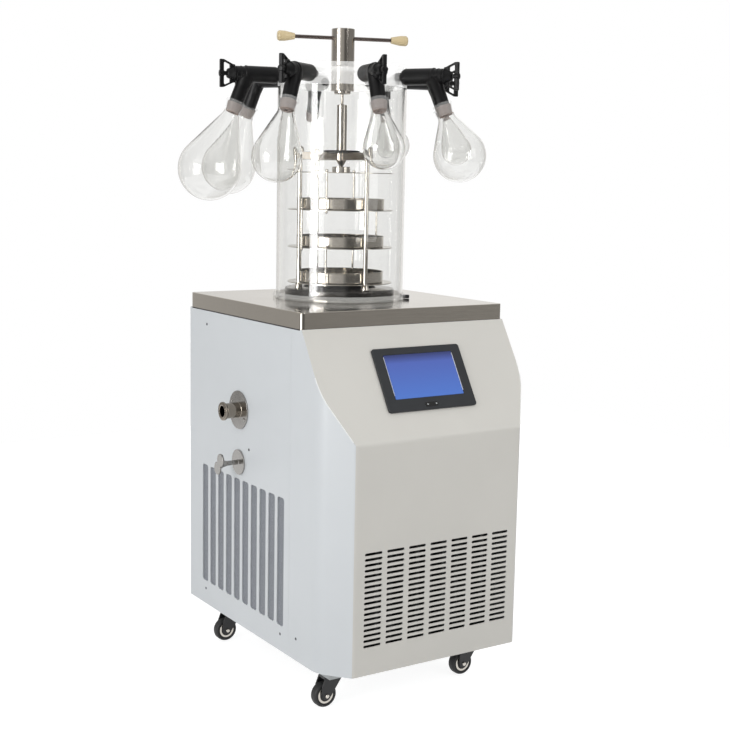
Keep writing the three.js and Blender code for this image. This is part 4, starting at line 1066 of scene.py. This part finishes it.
# The bezel's rings: outer and inner width, height and corner radius, then how high each
# ring's two faces stand over the slope and the radius of its edges.
BEZEL_RINGS = (
    ((216, 138, 6), (170, 96, 1.2), (2.6, 5.0, 1.1)),
    ((215.4, 137.4, 5.7), (171, 97, 1.2), (0.3, 3.0, 0.2)),
    ((176, 102, 2), (168.6, 94.6, 0.8), (1.9, 2.6, 0.15)),
)


class DRYER_OT_screen(Operator):
    """Make the bezel, the lit display and the small cover below it"""

    bl_idname = "dryer.screen"
    bl_label = "Touch screen"

    def execute(self, context):
        bezel = [
            plate(oblong(*outer), [oblong(*inner, y=DISPLAY_RISE)], *heights)
            for outer, inner, heights in BEZEL_RINGS
        ]
        bezel.append(plate(oblong(196, 118, radius=2), low=-34, high=2.0, edge=0.5))
        # Pale strips inside the bezel: painted highlights.
        painted_gleams = [
            plate(oblong(1.1, 84, radius=0.4, x=x, y=8), low=2.4, high=4.7, edge=0.3)
            for x in PAINTED_GLEAM_SIDES
        ]
        made(
            "screen_frame",
            [placed(part, SCREEN) for part in bezel]
            + [(placed(part, SCREEN), 1) for part in painted_gleams],
            ["bezel plastic", "bright edge"], stands_for=("screen_bezel",),
        )
        pane = oblong(168.0, 95.4, radius=0.8, y=DISPLAY_RISE)
        made(
            "screen_pane", [placed(plate(pane, low=2.5, high=4.2, edge=0.25), SCREEN)],
            ["screen blue"], stands_for=("display",),
        )
        cover = oblong(31, 9.6, radius=3.6, x=-3, y=SOCKET_DROP)
        made(
            "socket_cover", [placed(plate(cover, low=4.4, high=6.0, edge=0.5), SCREEN)],
            ["port cover black"],
        )
        dot = rod(radius=1.4, low=5.8, high=6.3, edge=0.2, around=16)
        dots = [placed(dot, SCREEN, move(x, SOCKET_DROP)) for x in DOT_SIDES]
        made("indicator_dots", dots, ["indicator pale"])
        return {"FINISHED"}


# The table's turned rim, and the dark strip under its skirt, a painted shadow of the
# skirt's overhang: outer and inner width and depth, and how far its two faces lie below the
# deck.
RIM_REACH, RIM_RADIUS = 235, 1.6
SHADOW_STRIP_SIZES = ((501, 496), (490, 485))
SHADOW_STRIP_CORNER = 8
SHADOW_STRIP_LOW, SHADOW_STRIP_HIGH = 35.2, 32.8


def table_rim(a, b):
    """Whether an edge lies on the outside of the table top."""
    reach = max(abs(a[0] - MIDDLE[0]), abs(a[1] - MIDDLE[1]))
    return min(a[2], b[2]) > DECK - 0.1 and reach > RIM_REACH


class DRYER_OT_chassis(Operator):
    """Finish the base frame, the back wall, the table and what is inside the cabinet"""

    bl_idname = "dryer.chassis"
    bl_label = "Chassis and table"

    def execute(self, context):
        eased("base_and_back", "chassis", ["zinc sheet"])
        eased(
            "steel_table", "table_top", ["table steel"], table_rim,
            RIM_RADIUS, steps=4,
        )
        # A black band under the skirt's edge: a painted shadow line.
        outer, inner = (oblong(*size, SHADOW_STRIP_CORNER, *MIDDLE[:2]) for size in SHADOW_STRIP_SIZES)
        strip = plate(outer, [inner], low=DECK - SHADOW_STRIP_LOW, high=DECK - SHADOW_STRIP_HIGH, edge=0.4)
        made("table_strip", [strip], ["black rubber"])
        dress("cold_trap", "polished steel")
        dress("condensing_unit", "dark unit")
        dress("fan_rotor", "valve black")
        return {"FINISHED"}


# Casters: each swivel's axis from the table's middle, and the wheel behind it.
CASTERS = {
    "front_left": (-175, -262), "front_right": (175, -262),
    "rear_left": (-175, 182), "rear_right": (175, 182),
}
WHEEL_TRAIL, WHEEL_HEIGHT = -21, 26
CHEEK_SIDES, CHEEK_THICKNESS = (-14.3, 11.3), 3
SWIVEL_HEAD = [(0, 60.5), (17.5, 60.5, 1), (19, 63, 1), (19, 66.4, 1.2), (0, 67.2)]
CHEEK = [
    (15, 61, 3), (15, 66, 1.5), (-24, 66, 6), (-33, 44, 14), (-31.5, 22, 6), (-21, 17, 6),
    (-10.5, 24, 8),
]
TYRE = [
    (3.4, -10.9), (11.5, -10.9, 1), (12.6, -8.2, 1), (18.8, -8.2, 1), (20.2, -9.9, 1.2),
    (24.4, -9.6, 2.8), (26, -5, 3), (26, 5, 3), (24.4, 9.6, 2.8), (20.2, 9.9, 1.2),
    (18.8, 8.2, 1), (12.6, 8.2, 1), (11.5, 10.9, 1), (3.4, 10.9),
]
HUB_RING = [(12.9, 8.0), (12.9, 9.4, 0.5), (17.6, 9.4, 0.5), (17.6, 8.0)]
HUB_CAP = [(0, 14), (4.4, 14), (4.4, 17.4, 1.8), (0, 17.8)]


class DRYER_OT_casters(Operator):
    """Make the four swivel casters: hooded fork, tyre, and the bright ring on each hub"""

    bl_idname = "dryer.casters"
    bl_label = "Casters"

    def execute(self, context):
        cheek = rounded_line(CHEEK, closed=True)
        yoke = [
            revolved(SWIVEL_HEAD, steps=4),
            *[
                placed(plate(cheek, low=low, high=low + CHEEK_THICKNESS, edge=0.8), Y_TO_Z)
                for low in CHEEK_SIDES
            ],
            plate(oblong(42, 28, radius=5, x=-4.5), low=60, high=66.2, edge=1.2),
            rod(radius=4.4, low=55, high=75, edge=0.5),
        ]
        axle = rod(radius=3, low=-15.5, high=15.5, edge=0.8)
        tyre = revolved(TYRE, closed=True)
        ring = revolved(HUB_RING, closed=True, around=48, steps=3)
        cap = revolved(HUB_CAP, around=24)
        for name, (x, y) in CASTERS.items():
            stem = CABINET @ move(x, y, 0)
            hub = stem @ move(WHEEL_TRAIL, 0, WHEEL_HEIGHT) @ turn("X", 90)
            made(
                f"caster_yoke_{name}", [*[placed(part, stem) for part in yoke], placed(axle, hub)],
                ["caster black"], f"swivel_{name}", (f"caster_fork_{name}",),
            )
            made(
                f"caster_tyre_{name}", [placed(tyre, hub)], ["tyre rubber"], f"wheel_{name}",
                (f"caster_wheel_{name}",),
            )
            rings = [
                placed(part, hub, turn("X", side)) for side in (180, 0) for part in (ring, cap)
            ]
            made(
                f"caster_ring_{name}", rings, ["polished steel"], f"wheel_{name}",
                (f"caster_wheel_{name}",),
            )
        return {"FINISHED"}


# Ports: the left wall's face, both ports' place along it, and their heights.
PORT_WALL, PORT_ALONG = MIDDLE[0] - 250.3, MIDDLE[1] + 11
VACUUM_HEIGHT, DRAIN_HEIGHT = 577, 463
VACUUM_TUBE = [
    (12, -130), (12, 40.6, 0.8), (14.2, 41.4, 0.4), (14.4, 40.2, 0.3), (20, 40.2, 0.8),
    (20, 36.4, 0.5), (17.6, 34.8, 0.8), (16.5, 33.4, 1), (16.5, 3.6, 1.2), (18, 2.4),
    (18, 0.8), (14, 0.6), (14, -130),
]
DISC_SCREW = [(0, 1.2), (1.2, 1.3), (1.5, 2.2), (3.4, 1.4, 0.5), (3.8, -0.2), (0, -0.2)]
DISC_SCREW_TURNS, DISC_SCREW_AT = (60, 240), (33, 0, 3)
DRAIN_FLANGE = [
    (0, 17), (5, 17, 0.8), (5, 3, 1.5), (27.5, 3, 0.6), (27.5, 0, 0.3), (0, 0),
]
DRAIN_PIPE = 7
WING_TURN, WING_LOBE = -35, 12
WING_NECK = [
    (0, 47), (11, 45.4, 1.5), (8, 40, 6), (5.2, 28, 6), (5, 17.4, 0.5), (0, 17.4),
]


class DRYER_OT_ports(Operator):
    """Make the vacuum port, the drain port and its two-lobed handle"""

    bl_idname = "dryer.ports"
    bl_label = "Side ports"

    def execute(self, context):
        vacuum = move(PORT_WALL, PORT_ALONG, VACUUM_HEIGHT) @ turn("Y", -90)
        disc = plate(circle(41.5, around=72), [circle(13)], low=0, high=3, edge=0.6)
        tube = revolved(VACUUM_TUBE, closed=True, steps=4)
        screw = revolved(DISC_SCREW, around=20, steps=3)
        screws = [
            placed(screw, vacuum, turn("Z", side) @ move(*DISC_SCREW_AT))
            for side in DISC_SCREW_TURNS
        ]
        made(
            "vacuum_connector",
            [placed(disc, vacuum), (placed(tube, vacuum), 1), *screws],
            ["port steel", "tube steel"], stands_for=("vacuum_port",),
        )
        drain = move(PORT_WALL, PORT_ALONG, DRAIN_HEIGHT) @ turn("Y", -90)
        pipe = rod(DRAIN_PIPE, low=-248, high=-1)
        rise = rod(DRAIN_PIPE, low=0, high=66.5)
        made(
            "drain_connector",
            [placed(revolved(DRAIN_FLANGE), drain), placed(pipe, drain),
             placed(rise, move(MIDDLE[0], PORT_ALONG, DRAIN_HEIGHT))],
            ["port steel"], stands_for=("drain_port",),
        )
        grip = drain @ turn("Z", WING_TURN)
        lobes = [
            circle(14, x=-WING_LOBE, around=40, start=35, end=325),
            circle(14, x=WING_LOBE, around=40, start=-145, end=145),
        ]
        wing = plate(np.concatenate(lobes), low=45, high=49, edge=1.2)
        neck = revolved(WING_NECK, around=40)
        made(
            "drain_wing", [placed(wing, grip), placed(neck, grip)], ["port steel"],
            "drain_handle", ("drain_handle",),
        )
        return {"FINISHED"}


# ---------------------------------------------------------------- drying chamber

# Turned profiles round the chamber's axis, as (radius, height over the deck, corner radius).
SEAL = [
    (131.2, 0.3, 1), (147, 0.3, 1.2), (147, 7, 3), (143.5, 12, 1.4), (140.35, 12, 0.6),
    (140.35, 4, 0.3), (131.2, 4, 0.8),
]
SEAL_TAB_TURN, SEAL_TAB_REACH = -35, 145
WALL = [
    (134, 4.4, 0.5), (140, 4.4, 0.5), (140, WALL_TOP - 0.1, 0.5), (134, WALL_TOP - 0.1, 0.5),
]
LID = [
    (25.3, LID_TOP - 10, 0.6), (129, LID_TOP - 10, 3), (129, WALL_TOP + 0.5, 0.5),
    (140, WALL_TOP + 0.5, 0.5), (140, LID_TOP, 2.5), (25.3, LID_TOP, 0.6),
]
BUSH = [
    (3.4, WALL_TOP - 13.8, 0.3), (18, WALL_TOP - 13.8, 3), (18, WALL_TOP - 7, 0.6),
    (25, WALL_TOP - 7, 0.8), (25, LID_TOP - 0.2, 0.4), (3.4, LID_TOP - 0.2, 0.3),
]


class DRYER_OT_chamber(Operator):
    """Make the seal ring, the clear cylinder, the frosted lid and the bush through it"""

    bl_idname = "dryer.chamber"
    bl_label = "Drying chamber"

    def execute(self, context):
        ring = revolved(SEAL, closed=True, around=144, steps=4)
        tab = plate(oblong(15, 8, radius=3.6, x=3), low=0.6, high=8.4, edge=1.6)
        tab = placed(tab, turn("Z", SEAL_TAB_TURN), move(SEAL_TAB_REACH))
        made(
            "seal_ring", [placed(ring, CHAMBER), (placed(tab, CHAMBER), 1)],
            ["clear seal", "black rubber"], stands_for=("base_seal",),
        )
        wall = revolved(WALL, closed=True, around=192, steps=2)
        made(
            "clear_cylinder", [placed(wall, CHAMBER)], ["chamber clear"],
            stands_for=("chamber_cylinder",), sharp=50,
        )
        lid = revolved(LID, closed=True, around=192, steps=4)
        made(
            "frosted_lid", [placed(lid, CHAMBER)], ["lid frosted"],
            stands_for=("manifold_lid",), sharp=50,
        )
        bush = revolved(BUSH, closed=True, around=72, steps=4)
        made(
            "lid_bush", [placed(bush, CHAMBER)], ["turned steel"], stands_for=("press_bush",),
        )
        return {"FINISHED"}


# ---------------------------------------------------------------- rack and press

# Directions of the posts and of each plate's hangers round the axis, and their circles; the
# heights of the plates over the deck, and which body each plate rides on.
POSTS = (-90, 180, 90)
POST_CIRCLE, HANGER_CIRCLE = 103, 107
LEVELS = {"lower": 34.0, "middle": 111.0, "upper": 192.0, "press": 272.0}
HANGERS = {"lower": (-138, 42), "middle": (8, -172), "upper": (-138, 42)}
BODY_OF_LEVEL = {"lower": "cabinet", "middle": "press_carriage", "upper": "press_carriage"}
TRAY_LIFT = 2.1

DRUM = [
    (117, 2.4, 0.4), (121, 2.4, 0.5), (121, 22, 3), (80, 24.1, 1.2), (80, 20.1, 0.8),
    (117, 20.1, 2),
]
POST = [
    (0, 23.1), (9, 23.1, 0.8), (7, 33.4, 1), (5, 33.7, 0.3), (5, 298.6, 0.2), (7.6, 298.6, 0.4),
    (7.6, 299.6, 0.2), (5, 299.7), (5, 316.4), (8.2, 316.4, 0.5), (7.9, 321.5, 0.8),
    (6.8, 326, 3.5), (0, 329.8),
]
ARM = [(0, -8), (111, -8, 7.8), (111, 8, 7.8), (0, 8)]
BRIDGE_BOSS = [(11.3, 300, 0.5), (17, 300, 1), (17, 315.5), (11.3, 315.5)]
RAM_GUIDE = [(11.4, 315.2, 0.3), (39.5, 315.2, 0.6), (39.5, 321, 0.8), (11.4, 321, 0.5)]


def spot(radius, direction):
    """A place at a radius and direction from the chamber's axis."""
    angle = math.radians(direction)
    return radius * math.cos(angle), radius * math.sin(angle)


def shelf_parts(name, through, rods_up, rise):
    """A thin round plate with holes for the posts and the hangers of the plate below, and
    its own hangers: rods that end in a ball over the next plate."""
    height = LEVELS[name]
    seat = height + rise + TRAY_LIFT
    holes = [circle(6.2, *spot(POST_CIRCLE, d), around=24) for d in POSTS]
    holes += [circle(2.9, *spot(HANGER_CIRCLE, d), around=16) for d in through]
    link = revolved(
        [(0, height - 6.6), (3.4, height - 3.8, 2.4), (2.3, height + 0.4), (2.3, seat + 0.2),
         (3.4, seat + 1.4, 1), (3.4, seat + 4.2, 1.6), (0, seat + 6.6)], around=20, steps=4,
    )
    hangers = [placed(link, move(*spot(HANGER_CIRCLE, direction))) for direction in rods_up]
    rim = circle(115, around=128)
    return [plate(rim, holes, low=height, high=height + 1.8, edge=0.35), *hangers]


def tray(base):
    """A turned pan with a rolled rim, from the height of its underside."""
    return revolved(
        [(0, base), (96, base, 2.5), (96, base + 21.8, 0.5), (97.2, base + 22.6, 0.5),
         (97.2, base + 23.4, 0.4), (94.4, base + 23.4, 1.2), (94.4, base + 1.6, 1.6),
         (0, base + 1.6)], around=128, steps=4,
    )


class DRYER_OT_rack(Operator):
    """Make the base drum with its posts, the bridge, the three shelves and their trays"""

    bl_idname = "dryer.rack"
    bl_label = "Shelf rack"

    def execute(self, context):
        drum = revolved(DRUM, closed=True, around=160)
        made(
            "rack_drum", [placed(drum, CHAMBER)], ["dark steel"], stands_for=("rack_base",),
        )
        post = revolved(POST, around=32, steps=4)
        posts = [placed(post, CHAMBER, move(*spot(POST_CIRCLE, d))) for d in POSTS]
        made(
            "rack_posts", posts, ["polished steel"], stands_for=("rack_base",),
        )
        post_hole = circle(5.3, x=POST_CIRCLE, around=24)
        outline = rounded_line(ARM, closed=True, steps=8)
        arm = plate(outline, [post_hole], low=300, high=316, edge=0.7)
        arms = [placed(arm, CHAMBER, turn("Z", direction)) for direction in POSTS]
        boss = revolved(BRIDGE_BOSS, closed=True, around=48)
        made(
            "rack_bridge", [*arms, placed(boss, CHAMBER)], ["turned steel"],
            stands_for=("bridge_plate",),
        )
        guide = revolved(RAM_GUIDE, closed=True, around=96)
        made(
            "ram_guide", [placed(guide, CHAMBER)], ["valve black"],
            stands_for=("bridge_plate",),
        )
        names = list(LEVELS)
        for below, name, above in zip([None, *names], names[:3], names[1:]):
            rise = LEVELS[above] - LEVELS[name]
            shelf = shelf_parts(name, HANGERS.get(below, ()), HANGERS[name], rise)
            made(
                f"round_shelf_{name}", [placed(part, CHAMBER) for part in shelf],
                ["polished steel"], BODY_OF_LEVEL[name], (f"shelf_{name}",),
            )
            made(
                f"round_tray_{name}", [placed(tray(LEVELS[name] + TRAY_LIFT), CHAMBER)],
                ["polished steel"], BODY_OF_LEVEL[name], (f"tray_{name}",),
            )
        return {"FINISHED"}


PRESS_CUP = [(3.8, 274, 0.3), (19, 274), (20, 274, 0.3), (20, 286, 1), (3.8, 286, 0.8)]
RAM = [
    (0, 274.2), (3.5, 274.2, 0.5), (3.5, 286.5, 0.8), (11, 299, 1.2), (11, 418.6, 1.2),
    (3, 420, 1), (3, LID_TOP + 71), (0, LID_TOP + 71),
]
BAR_HEIGHT, BAR_LENGTH = LID_TOP + 60, 113
GRIP = [
    (0, 106.5), (6.6, 106.5, 1.4), (7.4, 111, 6), (10.6, 128, 14), (11, 140, 4),
    (8.6, 144, 3.5), (0, 144.4),
]


class DRYER_OT_press(Operator):
    """Make the press plate with its cup, the ram, and the handle with its two grips"""

    bl_idname = "dryer.press"
    bl_label = "Stoppering press"

    def execute(self, context):
        cup = revolved(PRESS_CUP, closed=True, steps=4)
        made(
            "stopper_plate",
            [placed(p, CHAMBER) for p in [*shelf_parts("press", HANGERS["upper"], (), 0), cup]],
            ["polished steel"], "press_carriage", ("press_plate",),
        )
        made(
            "press_screw", [placed(revolved(RAM, around=48, steps=4), CHAMBER)], ["turned steel"],
            "press_carriage", ("press_ram",),
        )
        look = sizes().press
        radius = look.hub_radius / MM
        hub = revolved(
            [(0, LID_TOP + 72), (3.6, LID_TOP + 72), (3.6, LID_TOP + 0.4, 0.3),
             (radius - 1, LID_TOP + 0.4, 0.6), (radius, LID_TOP + 1.5, 0.5),
             (radius, LID_TOP + 79.5, 1.3), (0, LID_TOP + 79.5)], around=96, steps=4,
        )
        bar_at = CHAMBER @ move(0, 0, BAR_HEIGHT) @ turn("Z", math.degrees(look.bar_turn)) @ Z_TO_X
        halves = [bar_at @ turn("X", side) for side in (0, 180)]
        bar = rod(radius=4, low=radius - 3, high=BAR_LENGTH, edge=0.8, around=32)
        grip = revolved(GRIP, around=48)
        for name, parts, finish, slot in (
            ("press_tee", [placed(hub, CHAMBER)], "turned steel", "brushed_steel"),
            ("press_bars", [placed(bar, half) for half in halves], "bar steel", "brushed_steel"),
            ("press_grips", [placed(grip, half) for half in halves], "ivory grip", None),
        ):
            made(name, parts, [finish], "press_handle", ("press_handle",))
        return {"FINISHED"}


# ---------------------------------------------------------------- valves and flasks

# Each flask's bulb width and the distance of the bulb's middle from the leg's end.
FLASKS = {1: (76, 90), 2: (80, 80), 4: (124, 142), 5: (134, 149), 6: (102, 122), 7: (86, 99),
          8: (111, 110)}
VALVES = range(1, 9)
PORT_HEIGHT = 475.5

# Turned profiles along a valve's axis, as (radius, distance from the chamber's axis, corner
# radius), and down its leg, as (radius, distance from the leg's root, corner radius).
BARREL = [
    (0, 127), (9, 127, 0.5), (9, 141.4), (11, 141.4, 1), (17.5, 147.5, 12), (17.5, 212, 1),
    (18.2, 213.5, 0.6), (18.2, 216.5, 0.6), (16.2, 218.5, 0.8), (16.2, 224, 0.4),
    (16.9, 224.6, 0.4), (16.9, 227, 0.4), (16.2, 227.6, 0.4), (16.2, 237, 0.8), (0, 237),
]
COLLAR = [
    (0, 199), (8, 199, 0.5), (8, 237.3), (15.6, 237.3, 0.5), (16.6, 238.5, 0.8),
    (16.6, 241.4, 0.8), (14.2, 243, 1.4), (12.4, 247, 3), (9.4, 256, 4), (0, 258),
]
KNOB_BOSS = [(0, 262), (6.5, 262, 0.5), (6.5, 272.6, 1.6), (0, 273.2)]
LEG = [
    (0, 0), (17.4, 0), (17.2, 12, 10), (15.6, 28, 20), (15.2, 62, 1), (14.6, 66.2, 1.2),
    (0, 66.2),
]
STOPPER = [
    (0, 66.4), (17.2, 66.4, 0.8), (16.5, 71, 0.6), (13.7, 88, 1.2), (5, 88.6, 0.5),
    (5, 80, 0.5), (0, 80),
]

# The knob's flat wing, as (distance from the chamber's axis, height, corner radius): the
# upper half of its outline and the window in that half.
WING = [(271.3, 29, 1.6), (266.5, 29, 1), (262.4, 28.6, 2), (243, 19.2, 1.5), (238.4, 18.4, 1.2)]
WING_WINDOW = [(250, 4.4, 1.4), (262.6, 4.4, 1.4), (262.6, 24.4, 2.4), (250, 18.4, 2)]

# Down the leg: the flask's mouth and the end of the leg. The neck's radius and its height
# below the leg's end follow, and the depth to which the glass is ground.
MOUTH, LEG_END = 61.5, 66
NECK_RADIUS, NECK_AT = 16.6, 90.3
GROUND_DEPTH = 88


def port_frame(number):
    """A valve's frame: +X straight out from the chamber's axis at the height of the valves."""
    direction = math.degrees(sizes().valves.first) + 45 * (number - 1)
    return CHAMBER @ move(0, 0, PORT_HEIGHT) @ turn("Z", direction)


def leg_frame(number):
    """The frame of a valve's leg: +Z down the leg from its root on the valve's axis."""
    look = sizes().valves
    lean = turn("Y", 180 - math.degrees(look.tilt))
    return port_frame(number) @ move(look.reach / MM, 0, 0) @ lean


def mirrored_outline(points):
    """A half outline joined to its mirror image below the axis, from the lower half's end."""
    below = [(x, -y, bend) for x, y, bend in reversed(points)]
    return below + points


class DRYER_OT_valves(Operator):
    """Make the eight valves with their legs, stoppers and winged knobs"""

    bl_idname = "dryer.valves"
    bl_label = "Valves"

    def execute(self, context):
        barrel = placed(revolved(BARREL, around=56, steps=4), Z_TO_X)
        leg, stopper = revolved(LEG, around=48), revolved(STOPPER, around=48)
        windows = [
            rounded_line([(x, side * y, bend) for x, y, bend in WING_WINDOW], closed=True, steps=4)
            for side in (-1, 1)
        ]
        outline = rounded_line(mirrored_outline(WING), closed=True)
        knob = [
            placed(revolved(COLLAR, around=48, steps=4), Z_TO_X),
            placed(plate(outline, windows, low=-4, high=4, edge=1.4), Y_TO_Z),
            placed(revolved(KNOB_BOSS, around=32, steps=4), Z_TO_X),
        ]
        for number in VALVES:
            port, root = port_frame(number), leg_frame(number)
            body = (f"valve_body_{number}",)
            made(
                f"valve_housing_{number}", [placed(barrel, port), placed(leg, root)],
                ["valve black"], "cabinet", body,
            )
            made(
                f"valve_stopper_{number}", [placed(stopper, root)], ["stopper rubber"],
                "cabinet", body,
            )
            made(
                f"valve_wing_{number}", [placed(part, port) for part in knob], ["valve black"],
                f"valve_knob_{number}", (f"valve_knob_{number}",),
            )
        return {"FINISHED"}


def flask_line(bulb, reach, depth):
    """The glass line at a depth below the outer skin: flared mouth, neck, straight shoulder
    and a round bulb that the shoulder touches, as rows of (radius, distance down the leg).
    The bulb is centre + radius (sin a, -cos a), from the angle a at which the shoulder
    touches it to the bottom at pi."""
    centre = LEG_END + reach
    radius = bulb / 2 - depth
    neck = NECK_RADIUS - depth
    fall = centre - NECK_AT
    touch = math.atan2(neck, fall) + math.acos(radius / math.hypot(neck, fall))
    angle = np.linspace(touch, math.pi, 40)
    bulb_line = np.column_stack([radius * np.sin(angle), centre - radius * np.cos(angle)])
    bulb_line[-1, 0] = 0
    flare = [(20.4 - depth, MOUTH), (neck, NECK_AT, 26 + depth), tuple(bulb_line[0])]
    return np.concatenate([rounded_line(flare, steps=8), bulb_line[1:]])


class DRYER_OT_flasks(Operator):
    """Make the seven glass flasks"""

    bl_idname = "dryer.flasks"
    bl_label = "Flasks"

    def execute(self, context):
        look = sizes().flasks
        for number, (bulb, reach) in FLASKS.items():
            inside = flask_line(bulb, reach, look.wall / MM)[::-1]
            outside = flask_line(bulb, reach, 0)
            lip = rounded_line(
                [tuple(inside[-2]), (*inside[-1], 0.7), (21.4, MOUTH, 1.1), (21.4, MOUTH + 4, 1.2),
                 (19.9, MOUTH + 5.2, 0.8), tuple(outside[1])], steps=4,
            )
            line = np.concatenate([inside[:-1], lip[1:-1], outside[1:]])
            points, faces = revolved([tuple(p) for p in line], around=look.around)
            neck = [face for face in faces if points[face, 2].max() < GROUND_DEPTH]
            bulb_faces = [face for face in faces if points[face, 2].max() >= GROUND_DEPTH]
            leg = leg_frame(number)
            made(
                f"glass_flask_{number}",
                [placed((points, bulb_faces), leg), (placed((points, neck), leg), 1)],
                ["flask glass", "ground glass"], stands_for=(f"flask_{number}",),
                sharp=60,
            )
        return {"FINISHED"}


# ---------------------------------------------------------------- sidebar

STEPS = (
    DRYER_OT_stage, DRYER_OT_cabinet, DRYER_OT_screen, DRYER_OT_chassis, DRYER_OT_casters,
    DRYER_OT_ports, DRYER_OT_chamber, DRYER_OT_rack, DRYER_OT_press, DRYER_OT_valves,
    DRYER_OT_flasks,
)


class DRYER_PT_sidebar(Panel):
    """Lists the machine's settings and the steps that build it"""

    bl_idname = "DRYER_PT_sidebar"
    bl_label = "Freeze Dryer"
    bl_space_type = "VIEW_3D"
    bl_region_type = "UI"
    bl_category = "Freeze Dryer"

    def draw(self, context):
        column = self.layout.column()
        for group in ("stage", "paint", "screen", "press", "valves", "flasks"):
            settings = getattr(sizes(), group)
            column.label(text=group.title())
            for name in settings.__annotations__:
                column.prop(settings, name)
        for step in STEPS:
            column.operator(step.bl_idname)


CLASSES = (
    StageSettings, PaintSettings, ScreenSettings, PressSettings, ValveSettings, FlaskSettings,
    DryerSettings, *STEPS, DRYER_PT_sidebar,
)


def register():
    """Adds the classes and the settings."""
    for kind in CLASSES:
        bpy.utils.register_class(kind)
    bpy.types.Scene.freeze_dryer = PointerProperty(type=DryerSettings)


def unregister():
    """Takes them away again."""
    del bpy.types.Scene.freeze_dryer
    for kind in reversed(CLASSES):
        bpy.utils.unregister_class(kind)


def main():
    """Builds everything in order."""
    register()
    for step in STEPS:
        group, name = step.bl_idname.split(".")
        getattr(getattr(bpy.ops, group), name)()


if __name__ == "__main__":
    main()
